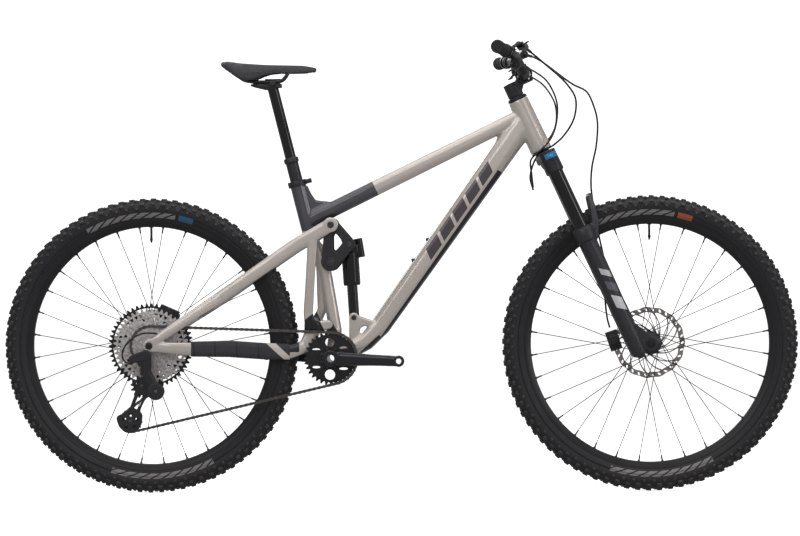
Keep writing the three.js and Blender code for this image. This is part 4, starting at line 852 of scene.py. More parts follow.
def makeTyre(word, axle, body, material, treadPhase):
    bm = bmesh.new()
    base = tyre["edge"] - tyre["knobHeight"]
    half = tyre["half"]
    lip = 17.6
    lathe(bm, axle, yAxis, [
        (-lip + 1.5, tyre["rim"] - 1), (-lip - 1.2, tyre["rim"] + 2.5), (-lip - 3.4, tyre["rim"] + 7),
        (-half + 5.5, tyre["rim"] + 14), (-half + 2.2, tyre["rim"] + 22), (-half + 1.6, tyre["rim"] + 29),
        (-half + 3.6, tyre["rim"] + 36), (-half + 8, base - 8.5), (-half + 14.5, base - 3.6),
        (-10, base - 0.8),
        (0, base), (10, base - 0.8), (half - 14.5, base - 3.6), (half - 8, base - 8.5),
        (half - 3.6, tyre["rim"] + 36), (half - 1.6, tyre["rim"] + 29), (half - 2.2, tyre["rim"] + 22),
        (half - 5.5, tyre["rim"] + 14), (lip + 3.4, tyre["rim"] + 7), (lip + 1.2, tyre["rim"] + 2.5),
        (lip - 1.5, tyre["rim"] - 1), (0, tyre["rim"] + 8),
    ], steps=160, loop=True)
    for ridge in (tyre["rim"] + 12, tyre["rim"] + 31):
        for hand in (-1, 1):
            y = hand * (half - (4.3 if ridge < tyre["rim"] + 20 else 1.5))
            lathe(bm, axle, yAxis, [(y - 0.9, ridge - 1), (y + 0.9, ridge - 1), (y + 0.9, ridge + 1),
                                    (y - 0.9, ridge + 1)], steps=160, loop=True)
    carcass = asPiece(f"{word}TyreCarcass", bm, material, body, [f"{word}_tyre"])
    knobs = bmesh.new()
    for i in range(tyre["repeats"]):
        angle = treadPhase + 2 * math.pi * i / tyre["repeats"]
        odd = i % 2
        made = knobAt(knobs, -5.4, -8, (10.5, 7.4), tyre["knobHeight"], 8)
        made += knobAt(knobs, 5.4, 8, (10.5, 7.4), tyre["knobHeight"], -8, stagger=4)
        reach = 15.4 if odd else 14.4
        for hand in (-1, 1):
            made += knobAt(knobs, hand * reach, hand * 27, (9, 6.6), tyre["knobHeight"] - 0.2, hand * 14,
                           stagger=13)
            made += knobAt(knobs, hand * (25.2 if odd else 23.6), hand * 52, (12, 8.6 if odd else 6.6),
                           tyre["knobHeight"] + 0.1, hand * 6, stagger=2)
            made += knobAt(knobs, hand * 28.0, hand * 72, (7.5, 6.5), 2.6, stagger=14)
        turn = Matrix.Rotation(angle, 4, "Y")
        bmesh.ops.transform(knobs, matrix=Matrix.Translation(axle) @ turn, verts=made)
    top = [edge for edge in knobs.edges if edge.calc_face_angle(0) > math.radians(60)]
    bmesh.ops.bevel(knobs, geom=top, offset=0.6 * mm, affect="EDGES", segments=1, profile=0.5, material=-1)
    asPiece(f"{word}TyreKnobs", knobs, knobRubberHighlightAndDust, body, sharp=50)
    return carcass


def makeRim(word, axle, body):
    bm = bmesh.new()
    lathe(bm, axle, yAxis, [
        (-7, 297.7), (-9.4, 298.6), (-15.2, 309), (-16.5, 313), (-16.5, 315.6), (-15.8, 316.4),
        (-13.6, 316.4),
        (-13, 315.6), (-13, 311.5), (-9, 308.5), (0, 306.8), (9, 308.5), (13, 311.5), (13, 315.6),
        (13.6, 316.4),
        (15.8, 316.4), (16.5, 315.6), (16.5, 313), (15.2, 309), (9.4, 298.6), (7, 297.7),
    ], steps=160, loop=True)
    asPiece(f"{word}RimHoop", bm, rimBlack, body, [f"{word}_rim"])
    bm = bmesh.new()  # the valve stands inside the rim at the top
    top = axle + Vector((0, 0, 1)) * 298 * mm
    lathe(bm, top, (0, 0, -1), [(-2, 0), (-2, 6), (1.5, 6), (2, 3), (28, 3), (28, 3.6), (34, 3.6), (36, 2.4),
                                (40, 2.2),
                                (40, 0)], steps=16)
    asPiece(f"{word}Valve", bm, slickBlack, body)


def makeSpokes(word, axle, body, flanges):
    sides = {"right": -1, "left": 1}
    for label, hand in sides.items():
        bm = bmesh.new()
        caps = bmesh.new()
        for i in range(16):
            pulling = 1 if i % 2 else -1
            rimAngle = math.radians((i + (0.75 if hand > 0 else 0.25)) * 22.5)
            hubAngle = rimAngle + math.radians(67.5) * pulling

            def at(radius, angle, y):
                return axle + Vector((radius * math.cos(angle), y, radius * math.sin(angle))) * mm

            outside = pulling * hand > 0
            flange = flanges[label]
            start = at(26.5, hubAngle, flange + (2.6 if outside else -2.6) * hand)
            end = at(294, rimAngle, hand * 3)
            run = (end - start).normalized()
            elbow = [at(26.5, hubAngle, flange - (3.4 if outside else -3.4) * hand),
                     at(26.5, hubAngle, flange + (1.2 if outside else -1.2) * hand), start + run * 2.4 * mm]
            path = smoothPath([*elbow, start.lerp(end, 0.12), start.lerp(end, 0.7), end], 12)
            tube(bm, path, 1.0, sides=7)
            lathe(caps, end - run * 11 * mm, run,
                  [(0, 0), (0, 1.7), (1, 2.0), (12, 2.0), (12.5, 3.1), (16, 3.1), (16, 0)],
                  steps=8)
            lathe(caps, elbow[0], (elbow[0] - elbow[1]).normalized(),
                  [(-0.6, 0), (-0.6, 1.9), (0.4, 1.7), (0.7, 0)],
                  steps=8)
        asPiece(f"{word}Spokes{label.capitalize()}", bm, spokeBlack, body,
                [f"{word}_spokes_{label}"])
        asPiece(f"{word}Nipples{label.capitalize()}", caps, boltSteel, body)


def makeHub(word, axle, body, flanges, half, bore, nearRotor):
    bm = bmesh.new()
    right, left = flanges["right"], flanges["left"]
    lathe(bm, axle, yAxis, [
        (-half + 0.3, bore), (-half + 0.3, 13), (right - 8, 14), (right - 5, 20), (right - 2, 28),
        (right - 1.4, 29),
        (right + 1.4, 29), (right + 2, 28), (right + 6, 20), (right + 14, 17), (left - 14, 17),
        (left - 6, 20),
        (left - 2, 28), (left - 1.4, 29), (left + 1.4, 29), (left + 2, 28), (left + 4, 21),
        (nearRotor - 2, 19),
        (nearRotor - 2, 14), (half - 0.3, 13), (half - 0.3, bore),
    ], steps=64, loop=True)
    for place in (0.3, 0.7):
        y = right + (left - right) * place
        lathe(bm, axle, yAxis, [(y - 1, 16.5), (y - 0.6, 17.8), (y + 0.6, 17.8), (y + 1, 16.5)], steps=64,
              loop=True)
    asPiece(f"{word}HubShell", bm, satinBlack, body, [f"{word}_hub"])


rotorLook = {
    "edge": 90,
    "band": 14.5,
    "slots": 30,
    "arms": 12,
    "half": 0.9,
}


def makeRotor(word, axle, body, line):
    bm = bmesh.new()
    low, high = (line - rotorLook["half"]) * mm, (line + rotorLook["half"]) * mm
    waves = 15
    outer, inner = [], []
    for i in range(waves * 12):
        angle = 2 * math.pi * i / (waves * 12)
        dip = 1.1 * math.cos(waves * angle)
        for ring, radius in ((outer, rotorLook["edge"] - 1.1 + dip),
                             (inner, rotorLook["edge"] - rotorLook["band"] + dip)):
            ring.append((axle.x + radius * mm * math.cos(angle), axle.z + radius * mm * math.sin(angle)))
    holes = [inner]
    for i in range(rotorLook["slots"]):
        angle = 2 * math.pi * i / rotorLook["slots"]
        reach = [(86.0, -0.02), (86.4, 0.012), (84.5, 0.035), (79.8, -0.012), (79.2, -0.045), (81.2, -0.06)]
        holes.append([(axle.x + radius * mm * math.cos(angle + turn),
                       axle.z + radius * mm * math.sin(angle + turn))
                      for radius, turn in reach])
    plateFrom(bm, outer, low, high, holes)
    for i in range(rotorLook["arms"]):
        start = 2 * math.pi * i / rotorLook["arms"]
        left, right = [], []
        for k in range(9):
            share = k / 8
            radius = 28 + share * 49
            bend = start + 0.95 * share ** 0.8
            wide = (3.4 - 1.6 * math.sin(math.pi * share)) / radius
            left.append((axle.x + radius * mm * math.cos(bend - wide),
                         axle.z + radius * mm * math.sin(bend - wide)))
            right.append((axle.x + radius * mm * math.cos(bend + wide),
                          axle.z + radius * mm * math.sin(bend + wide)))
        plateFrom(bm, left + right[::-1], low + 0.1 * mm, high - 0.1 * mm)
    asPiece(f"{word}RotorBand", bm, rotorSteel, body, [f"{word}_rotor"])
    bm = bmesh.new()  # the dark carrier and its lock ring
    bore = 15.0
    ring = []
    for i in range(12 * 8):
        angle = 2 * math.pi * i / 96
        radius = 29 + 4.5 * max(0, math.cos(12 * angle)) ** 2
        ring.append((axle.x + radius * mm * math.cos(angle), axle.z + radius * mm * math.sin(angle)))
    plateFrom(bm, ring, (line - 1.6) * mm, (line + 1.6) * mm, [ringPoints(axle, bore * mm, 32)])
    lathe(bm, axle, yAxis, [(line + 1.5, 14.6), (line + 1.5, 21), (line + 4.2, 21), (line + 5, 20),
                            (line + 5, 14.6)],
          steps=48, loop=True)
    asPiece(f"{word}RotorCarrier", bm, deepBlack, body)


wheels = {
    "rear": {"axle": rearAxle, "body": "rear_wheel", "flanges": {"right": -22, "left": 34}, "half": 74,
             "bore": 6.4,
             "rotor": 57.5, "mark": linear(42, 104, 142)},
    "front": {"axle": frontAxle, "body": "front_wheel", "flanges": {"right": -27, "left": 22}, "half": 55,
              "bore": 7.9, "rotor": 43, "mark": linear(176, 92, 62)},
}

for word, wheel in wheels.items():
    rubber = makeTyreRubber(f"{word}TyreRubber", wheel["axle"], wheel["mark"])
    makeTyre(word, wheel["axle"], wheel["body"], rubber, 0.01)
    makeRim(word, wheel["axle"], wheel["body"])
    makeSpokes(word, wheel["axle"], wheel["body"], wheel["flanges"])
    makeHub(word, wheel["axle"], wheel["body"], wheel["flanges"], wheel["half"], wheel["bore"],
            wheel["rotor"])
    makeRotor(word, wheel["axle"], wheel["body"], wheel["rotor"])
    print(word, "wheel ready")


# ---------- drivetrain ----------

drive = {
    "pitch": 12.7,
    "line": -48,
    "cogs": [10, 12, 14, 16, 18, 21, 24, 28, 33, 39, 45, 51],
    "chosen": 6,
    "cogSpacing": 3.6,
    "firstCog": -69.6,
}


def pitchRadius(teeth):
    return drive["pitch"] / (2 * math.sin(math.pi / teeth))


stages = [
    {"centre": bracket, "teeth": 32, "turn": 1},
    {"centre": rearAxle, "teeth": drive["cogs"][drive["chosen"]], "turn": 1},
    {"centre": guideSpot, "teeth": 13, "turn": -1},
    {"centre": tensionSpot, "teeth": 13, "turn": 1},
]


def headingBetween(first, second):
    along = (second["centre"] - first["centre"]) / mm
    length = math.hypot(along.x, along.z)
    offset = (second["turn"] * pitchRadius(second["teeth"]) - first["turn"] * pitchRadius(first["teeth"])) / length
    return math.atan2(along.z, along.x) - math.asin(offset)


def wrapStages():
    for i, stage in enumerate(stages):
        before, after = stages[i - 1], stages[(i + 1) % 4]
        lead = -stage["turn"] * math.pi / 2
        stage["start"] = headingBetween(before, stage) + lead
        sweep = (headingBetween(stage, after) + lead - stage["start"]) * stage["turn"]
        stage["sweep"] = sweep % (2 * math.pi)
        stage["middle"] = stage["start"] + stage["turn"] * stage["sweep"] / 2
        stage["radius"] = pitchRadius(stage["teeth"])


wrapStages()


def onWrap(stage, angle):
    radius = stage["radius"] * mm
    return Vector((stage["centre"].x + radius * math.cos(angle), drive["line"] * mm,
                   stage["centre"].z + radius * math.sin(angle)))


def chainPins():
    # pins sit in the gullets on each wrap and share out the free runs between; each pin knows its stretch
    pins = []
    for i, stage in enumerate(stages):
        after = stages[(i + 1) % 4]
        step = 2 * math.pi / stage["teeth"]
        reach = int(stage["sweep"] / 2 / step)
        for k in range(-reach, reach + 1):
            pins.append((onWrap(stage, stage["middle"] + stage["turn"] * k * step), f"wrap{i}"))
        restAngle = stage["sweep"] / 2 - reach * step
        nextStep = 2 * math.pi / after["teeth"]
        nextReach = int(after["sweep"] / 2 / nextStep)
        nextRest = after["sweep"] / 2 - nextReach * nextStep
        leave = onWrap(stage, stage["start"] + stage["turn"] * stage["sweep"])
        arrive = onWrap(after, after["start"])
        first = restAngle * stage["radius"] * mm
        straight = (arrive - leave).length
        last = nextRest * after["radius"] * mm
        total = first + straight + last
        count = max(1, round(total / (drive["pitch"] * mm)))
        for k in range(1, count):
            run = total * k / count
            if run < first:
                angle = stage["middle"] + stage["turn"] * (reach * step + run / (stage["radius"] * mm))
                pins.append((onWrap(stage, angle), f"wrap{i}"))
            elif run < first + straight:
                pins.append((leave.lerp(arrive, (run - first) / straight), f"run{i}"))
            else:
                angle = after["start"] + after["turn"] * (run - first - straight) / (after["radius"] * mm)
                pins.append((onWrap(after, angle), f"wrap{(i + 1) % 4}"))
    return pins


def linkPlate(bm, first, second, y, half, waist):
    # a figure-of-eight side plate between two pins
    along = (second - first).normalized()
    up = Vector((-along.z, 0, along.x))
    outline = []
    for centre, facing in ((second, 1), (first, -1)):
        for angle in (-70, -25, 25, 70):
            turn = math.radians(angle)
            spot = centre + (along * math.cos(turn) * facing + up * math.sin(turn) * facing) * half * mm
            outline.append((spot.x, spot.z))
        middle = (first + second) / 2 + up * facing * waist * mm
        outline.append((middle.x, middle.z))
    plateFrom(bm, outline, (y - 0.5) * mm, (y + 0.5) * mm)


def makeChain():
    pins = chainPins()
    bits = {}
    lower = (onWrap(stages[3], stages[3]["start"] + stages[3]["turn"] * stages[3]["sweep"]),
             onWrap(stages[0], stages[0]["start"]))
    middleOfLower = (lower[0] + lower[1]) / 2
    for i, (spot, stretch) in enumerate(pins):
        following = pins[(i + 1) % len(pins)][0]
        if stretch == "run3":
            middle = (spot + following) / 2
            stretch = "run3rear" if middle.x < middleOfLower.x else "run3front"
        if stretch in ("wrap2", "run2", "wrap3"):
            stretch = "tail"
        bm = bits.setdefault(stretch, bmesh.new())
        outer = i % 2
        gapHalf = 3.3 if outer else 2.1
        for hand in (-1, 1):
            linkPlate(bm, spot, following, drive["line"] + hand * gapHalf, 4.2, 3.0)
        lathe(bm, spot, yAxis, [(-4.1, 0), (-4.1, 1.8), (4.1, 1.8), (4.1, 0)], steps=6)
        lathe(bm, spot, yAxis, [(-1.6, 1.9), (-1.6, 3.9), (1.6, 3.9), (1.6, 1.9)], steps=8, loop=True)
    pieces = {key: asPiece(f"chain{key.capitalize()}", bm, chainSteel, None) for key,
              bm in bits.items()}
    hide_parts("chain")
    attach(pieces["wrap0"], "frame")
    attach(pieces["wrap1"], "stays")
    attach(pieces["tail"], "cage")
    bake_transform(pieces["run0"])
    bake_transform(pieces["run1"])
    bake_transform(pieces["run3rear"])
    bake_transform(pieces["run3front"])


def toothRing(centre, teeth, phase, tip=3.2, root=4.6):
    radius = pitchRadius(teeth)
    step = 2 * math.pi / teeth
    shape = [(-0.5, radius - root), (-0.36, radius - root + 0.5), (-0.22, radius + 0.2), (-0.1, radius + tip),
             (0.1, radius + tip), (0.22, radius + 0.2), (0.36, radius - root + 0.5)]
    return [(centre.x + reach * mm * math.cos(phase + (i + 0.5 + share) * step),
             centre.z + reach * mm * math.sin(phase + (i + 0.5 + share) * step))
            for i in range(teeth) for share, reach in shape]


def sweptWindows(centre, inner, outer, count, twist, open=0.62, offset=0.0):
    windows = []
    for i in range(count):
        start = offset + 2 * math.pi * i / count
        wide = open * math.pi / count
        rim = [(outer, start + twist + wide * s) for s in (-1, -0.5, 0, 0.5, 1)]
        hub = [(inner, start + wide * s) for s in (0.8, 0, -0.8)]
        windows.append([(centre.x + r * mm * math.cos(a), centre.z + r * mm * math.sin(a)) for r,
                        a in rim + hub])
    return windows


def makeCassette():
    steel, black = bmesh.new(), bmesh.new()
    for i, teeth in enumerate(drive["cogs"]):
        line = drive["firstCog"] + i * drive["cogSpacing"]
        phase = stages[1]["middle"] if i == drive["chosen"] else 0.37 * i
        root = pitchRadius(teeth) - 4.6
        holes = [ringPoints(rearAxle, 15.6 * mm, 32)]
        if teeth >= 24:
            below = pitchRadius(drive["cogs"][i - 1])
            holes += sweptWindows(rearAxle, max(21, 0.55 * below), root - 4.2, 7, 0.35, offset=0.45 * i)
        target = black if i == len(drive["cogs"]) - 1 else steel
        plateFrom(target, toothRing(rearAxle, teeth, phase), (line - 0.8) * mm, (line + 0.8) * mm, holes)
    pinRadius = (26, 34, 44, 55, 66, 80)
    for k, radius in enumerate(pinRadius):
        level = drive["firstCog"] + (5 + k) * drive["cogSpacing"]
        for i in range(7):
            angle = 2 * math.pi * i / 7 + 0.5 * k
            spot = rearAxle + Vector((math.cos(angle), 0, math.sin(angle))) * radius * mm
            lathe(steel, spot, yAxis, [(level - 1.8, 0), (level - 1.8, 2.2), (level - 1.4, 2.6),
                                       (level + 3, 2.6),
                                       (level + 3, 0)], steps=10)
    lathe(steel, rearAxle, yAxis, [(-72.6, 12), (-72.6, 15.5), (-71.6, 17.5), (-68, 17.5), (-68, 15.4),
                                   (-30, 15.4),
                                   (-30, 12)], steps=48, loop=True)
    asPiece("cassetteCogs", steel, cogSteel, "cogs", ["cassette"])
    asPiece("cassetteLargest", black, cogBlack, "cogs")


def makeChainring():
    bm = bmesh.new()
    stage = stages[0]
    centre = bracket

    def hole(x, z, wide, tall):
        return [(centre.x + (x + wide * math.cos(a)) * mm, centre.z + (z + tall * math.sin(a)) * mm)
                for a in [2 * math.pi * k / 14 for k in range(14)]]

    holes = [ringPoints(centre, 17.8 * mm, 32), hole(-3, 40, 11.5, 11.5), hole(-3, -41, 13, 13),
             hole(-37, 22, 10, 3), hole(-37, -22, 10, 3), hole(31, 26, 11, 3.2), hole(31, -26, 11, 3.2)]
    low, high = (drive["line"] - 1.9) * mm, (drive["line"] + 1.9) * mm
    plateFrom(bm, ringPoints(centre, (stage["radius"] - 8.5) * mm, 96), low, high, holes)
    plateFrom(bm, toothRing(centre, 32, stage["middle"]), (drive["line"] - 0.95) * mm,
              (drive["line"] + 0.95) * mm,
              [ringPoints(centre, (stage["radius"] - 10) * mm, 96)])
    asPiece("chainringPlate", bm, deepBlack, "cranks", ["chainring"])
    bm = bmesh.new()
    for i in range(8):
        angle = 2 * math.pi * (i + 0.5) / 8
        spot = centre + Vector((math.cos(angle), 0, math.sin(angle))) * 25 * mm
        socketBolt(bm, spot + Vector((0, (drive["line"] - 2) * mm, 0)), -yAxis, head=3, height=2)
    asPiece("chainringBolts", bm, boltSteel, "cranks")


def makePulley(name, stage, body, node):
    bm = bmesh.new()
    holes = [ringPoints(stage["centre"], 8.2 * mm, 24)]
    holes += [ringPoints(stage["centre"] + Vector((math.cos(a), 0, math.sin(a))) * 14.5 * mm, 2.6 * mm, 12)
              for a in [2 * math.pi * (k + 0.5) / 6 for k in range(6)]]
    plateFrom(bm, toothRing(stage["centre"], 13, stage["middle"], tip=3.4, root=4.6),
              (drive["line"] - 1.1) * mm,
              (drive["line"] + 1.1) * mm, holes)
    centre = Vector((stage["centre"].x, drive["line"] * mm, stage["centre"].z))
    lathe(bm, centre, yAxis, [(-3.2, 4.2), (-3.2, 7.2), (-2, 9), (2, 9), (3.2, 7.2), (3.2, 4.2)], steps=32,
          loop=True)
    asPiece(name, bm, controlPlastic, body, [node])


makeChain()
makeCassette()
makeChainring()
makePulley("guideWheel", stages[2], "guide_wheel", "guide_pulley")
makePulley("tensionWheel", stages[3], "tension_wheel", "tension_pulley")
fused("crankArmRight", ["crank_right"], 1.5, 7, forgedAlloy, "cranks")
fused("crankArmLeft", ["crank_left"], 1.5, 7, forgedAlloy, "cranks")
fused("derailleurKnuckles", ["derailleur_body"], 1.2, 6, satinBlack, "stays")


cage = {
    "outline": [(-712, 194), (-705, 168), (-688, 152), (-664, 153), (-648, 170), (-645, 198), (-653, 207),
                (-635, 243),
                (-610, 240), (-595, 255), (-604, 271), (-630, 280), (-646, 284), (-660, 276), (-661, 258),
                (-677, 213), (-690, 203)],
    "window": [(-669, 215), (-657, 210), (-641, 245), (-653, 252)],
    "plates": {"cageOuterPlate": (-55.4, -53.4, satinBlack), "cageInnerPlate": (-43.4, -41.8, railSteel)},
}


def makeCage():
    for name, (low, high, material) in cage["plates"].items():
        bm = bmesh.new()
        holes = [[(x * mm, z * mm) for x, z in softened(cage["window"])]]
        for k in range(5):
            turn = 2 * math.pi * k / 5 + 0.3
            spot = tensionSpot + Vector((math.cos(turn), 0, math.sin(turn))) * 16.5 * mm
            holes.append(ringPoints(spot, 4.6 * mm, 14))
        plateFrom(bm, [(x * mm, z * mm) for x, z in softened(cage["outline"])], low * mm, high * mm, holes)
        hard = [edge for edge in bm.edges if len(edge.link_faces) == 2 and edge.calc_face_angle(0) > 1]
        bmesh.ops.bevel(bm, geom=hard, offset=0.4 * mm, affect="EDGES", segments=1, profile=0.5, material=-1)
        asPiece(name, bm, material, "cage",
                ["derailleur_cage"] if name == "cageOuterPlate" else ())
    bm = bmesh.new()
    for spot in (guideSpot, tensionSpot):
        centre = Vector((spot.x, 0, spot.z))
        lathe(bm, centre, yAxis, [(-57.4, 0), (-57.4, 2), (-56.8, 5), (-55.4, 5.4), (-55.4, 3.4),
                                  (-41.6, 3.4),
                                  (-41.6, 5), (-40.6, 5), (-40.4, 0)], steps=24)
    centre = Vector((knuckleSpot.x, 0, knuckleSpot.z))
    lathe(bm, centre, yAxis, [(-60.3, 0), (-60.3, 12), (-53.5, 12), (-53.5, 0)], steps=32)
    asPiece("cageBolts", bm, boltSteel, "cage")


def makeDerailleurTrim():
    # the clutch cover and link pins on the outside of the derailleur's body
    bm = bmesh.new()
    centre = Vector((knuckleSpot.x, 0, knuckleSpot.z))
    lathe(bm, centre, -yAxis, [(95.6, 0), (95.6, 21.2), (91, 21.8), (88, 21.2), (88, 19)], steps=48)
    lathe(bm, centre, -yAxis, [(95.5, 13.5), (97.2, 13), (97.2, 9), (95.5, 8.5)], steps=40, loop=True)
    asPiece("clutchCover", bm, controlPlastic, "stays")
    bm = bmesh.new()
    for x, z, out, head in ((-608, 257, 95.4, 4), (-622, 283, 92, 3.2), (-640, 296, 94, 3),
                            (-631, 330, 93, 3.4)):
        socketBolt(bm, Vector((x * mm, -out * mm, z * mm)), -yAxis, head=head, height=2.6)
    asPiece("derailleurPins", bm, railSteel, "stays")


makeCage()
makeDerailleurTrim()
print("drivetrain ready")


# ---------- frame, linkage and shock ----------

fused("mainFrameSkin", ["main_frame"], 2.4, 7, mainPaint, "frame",
      window=[(-103, 411), (-78, 418), (-102, 391)])
fused("rearTriangleSkin", ["rear_triangle"], 2.2, 5, stayPaint, "stays")
fused("chainstayGuardSkin", ["chainstay_guard"], 1.4, 3, guardRubber, "stays")
fused("rockerForging", ["rocker"], 1.3, 5, satinBlack, "rocker_arm",
      window=[(-165.5, 656), (-166.5, 599), (-140, 626)])
fused("lowerLinkForging", ["lower_link"], 1.2, 5, satinBlack, "link")
fused("shockBodyCan", ["shock_can"], 1.2, 5, slickBlack, "shock_body")
fused("shockRod", ["shock_shaft"], 1.1, 4, slickBlack, "shock_rod")
crisp("seatCollar", ["seat_clamp"], 0.5, satinBlack, "frame")
print("frame ready")


# ---------- fork, bar and controls ----------

fused("forkCrownSkin", ["fork_upper"], 1.8, 7, crownPaint, "steering")
fused("forkLowersSkin", ["fork_lowers"], 1.9, 8, forkPaint, "lowers")
fused("frontCaliperBody", ["front_caliper"], 1.1, 3, satinBlack, "lowers")
fused("rearCaliperBody", ["rear_caliper"], 1.1, 3, satinBlack, "stays")
fused("stemForging", ["stem"], 1.2, 4, satinBlack, "steering")
fused("handlebarTube", ["handlebar"], 1.6, 8, satinBlack, "steering")


def makeStanchions():
    bm = bmesh.new()
    for hand in (-1, 1):
        lathe(bm, steer(9, hand * 66, 0), steerUp, [(236, 0), (236, 18.3), (488, 18.3), (488, 0)], steps=64)
    asPiece("stanchions", bm, slickBlack, "steering")
    bm = bmesh.new()
    for hand in (-1, 1):
        lathe(bm, steer(9, hand * 66, 0), steerUp, [(331.5, 18.7), (331.5, 23.6), (333, 23.6), (334.1, 20.4),
                                                  (334.5, 18.7)], steps=64, loop=True)
    asPiece("forkSeals", bm, gripRubber, "lowers")
    bm = bmesh.new()
    for hand in (-1, 1):
        foot = steer(9, hand * 66, 0)
        lathe(bm, foot, steerUp, [(296, 22), (298, 26), (301, 27), (322, 27), (326, 26), (331.4, 24.5),
                                  (331.4, 22)],
              steps=56, loop=True)
        lathe(bm, foot, steerUp, [(-19, 0), (-19, 11), (-18, 12), (-14, 18.5), (-10, 20), (40, 21),
                                  (110, 21.5),
                                  (150, 20), (150, 18.9), (-8, 18.9), (-8, 0)], steps=56)
        lathe(bm, steer(9, hand * 66, 0), steerUp, [(-24, 0), (-24, 7), (-18.8, 7.4), (-18.8, 0)], steps=24)
    asPiece("legCastings", bm, forkPaint, "lowers")


makeStanchions()

for side in ("right", "left"):
    fused(f"brakeBody{side.capitalize()}", [f"brake_body_{side}"], 1.0, 4, satinBlack, "steering")
    fused(f"brakeLever{side.capitalize()}", [f"brake_lever_{side}"], 0.9, 4, forgedAlloy, f"{side}_lever")
fused("shifterPod", ["shifter_body"], 1.0, 4, controlPlastic, "steering")
fused("remotePod", ["dropper_remote_body"], 1.0, 4, controlPlastic, "steering")
fused("lowerShiftPaddle", ["shift_paddle_lower"], 0.8, 3, controlPlastic, "lower_shift_paddle")
fused("upperShiftPaddle", ["shift_paddle_upper"], 0.8, 3, controlPlastic, "upper_shift_paddle")
fused("remotePaddle", ["dropper_paddle"], 0.8, 3, controlPlastic, "remote_paddle")

barBend = (38, 118, 789)
barEnd = (2.5, 390, 813)


def barSpot(y):
    share = (abs(y) - barBend[1]) / (barEnd[1] - barBend[1])
    return steer(barBend[0] + (barEnd[0] - barBend[0]) * share, y,
                 barBend[2] + (barEnd[2] - barBend[2]) * share)


grip = {
    "radius": 15.2,
    "ribs": 20,
}


def makeGrip(label, hand):
    bm = bmesh.new()
    start, end = barSpot(hand * 262), barSpot(hand * 390)
    along = (end - start).normalized()
    profile = [(9.5, 11.6), (9.5, 14.4)]
    for i in range(grip["ribs"]):
        foot = 13 + i * 5.2
        profile += [(foot, 14.3), (foot + 0.9, grip["radius"]), (foot + 3.1, grip["radius"]),
                    (foot + 4, 14.3)]
    profile += [(120, 14.4), (122, 16.6), (129, 16.6), (131, 15), (131.3, 0)]
    lathe(bm, start, along, profile + [(123, 0), (123, 11.6)], steps=40, loop=False)
    edges = [edge for edge in bm.edges if edge.is_boundary]
    bmesh.ops.holes_fill(bm, edges=edges)
    asPiece(f"grip{label.capitalize()}", bm, gripRubber, "steering", [f"grip_{label}"], sharp=40)
    bm = bmesh.new()
    lathe(bm, start, along, [(0, 11.6), (0, 16.2), (0.8, 17), (8.4, 17), (9.2, 16.2), (9.2, 11.6)], steps=40,
          loop=True)
    socketBolt(bm, start + along * 4.6 * mm - steerUp * 14 * mm, -steerUp, head=3, height=4)
    asPiece(f"gripCollar{label.capitalize()}", bm, forgedAlloy, "steering")


makeGrip("right", -1)
makeGrip("left", 1)

hoses = {
    "frontBrakeHose": {"node": "front_brake_hose", "radius": 2.5, "bodies": ("steering", "lowers"),
                       "points": [
        (67, 155.4, 795.7), (92, 122, 768), (143, 80, 673), (167, 70, 640), (168, 62, 600), (160, 60, 560),
        (132, 66, 506), (100, 72, 462), (78, 80, 420), (62, 90, 370), (44, 93, 300), (24, 93, 218),
        (-8, 91, 150), (-26, 76, 98), (-30, 62, 76)], "start": (0, 0, 560), "end": (0, 0, 330)},
    "rearBrakeHose": {"node": "rear_brake_hose", "radius": 2.5, "bodies": ("frame", "steering"), "points": [
        (67, -156, 795.7), (92, -112, 748), (128, -20, 672), (132, 22, 630), (108, 32, 590), (66, 45, 562),
        (34, 44, 552), (-12, 38, 545), (-52, 31, 505), (-60, 29, 470)],
        "start": (-90, 0, 0), "end": (60, 0, 0)},
    "shiftHousing": {"node": "shift_housing", "radius": 2.3, "bodies": ("frame", "steering"), "points": [
        (30, -192.6, 764.8), (66, -126, 730), (86, -60, 690), (84, -38, 640), (60, -34, 594), (34, -36, 568),
        (0, -36, 552), (-34, -32, 540), (-48, -28, 505), (-58, -27.5, 475)],
        "start": (-90, 0, 0), "end": (60, 0, 0)},
    "dropperHousing": {"node": "dropper_housing", "radius": 2.3, "bodies": ("frame", "steering"), "points": [
        (30, 197.4, 764.8), (58, 140, 735), (78, 64, 690), (80, 30, 640), (62, 30, 598), (36, 31.5, 574),
        (8, 31, 564), (-20, 31, 552)],
        "start": (-90, 0, 0), "end": (60, 0, 0)},
}

for name, hose in hoses.items():
    bm = bmesh.new()
    path = smoothPath([steer(*point) for point in hose["points"]], 110)
    collar = [1.5 if index < 5 else 1.0 for index in range(len(path))]
    tube(bm, path, [hose["radius"] * share for share in collar], sides=12)
    piece = asPiece(name, bm, hosePlastic, None, [hose["node"]])
    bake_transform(piece)
print("fork and controls ready")


# ---------- turned parts that keep their sizes ----------

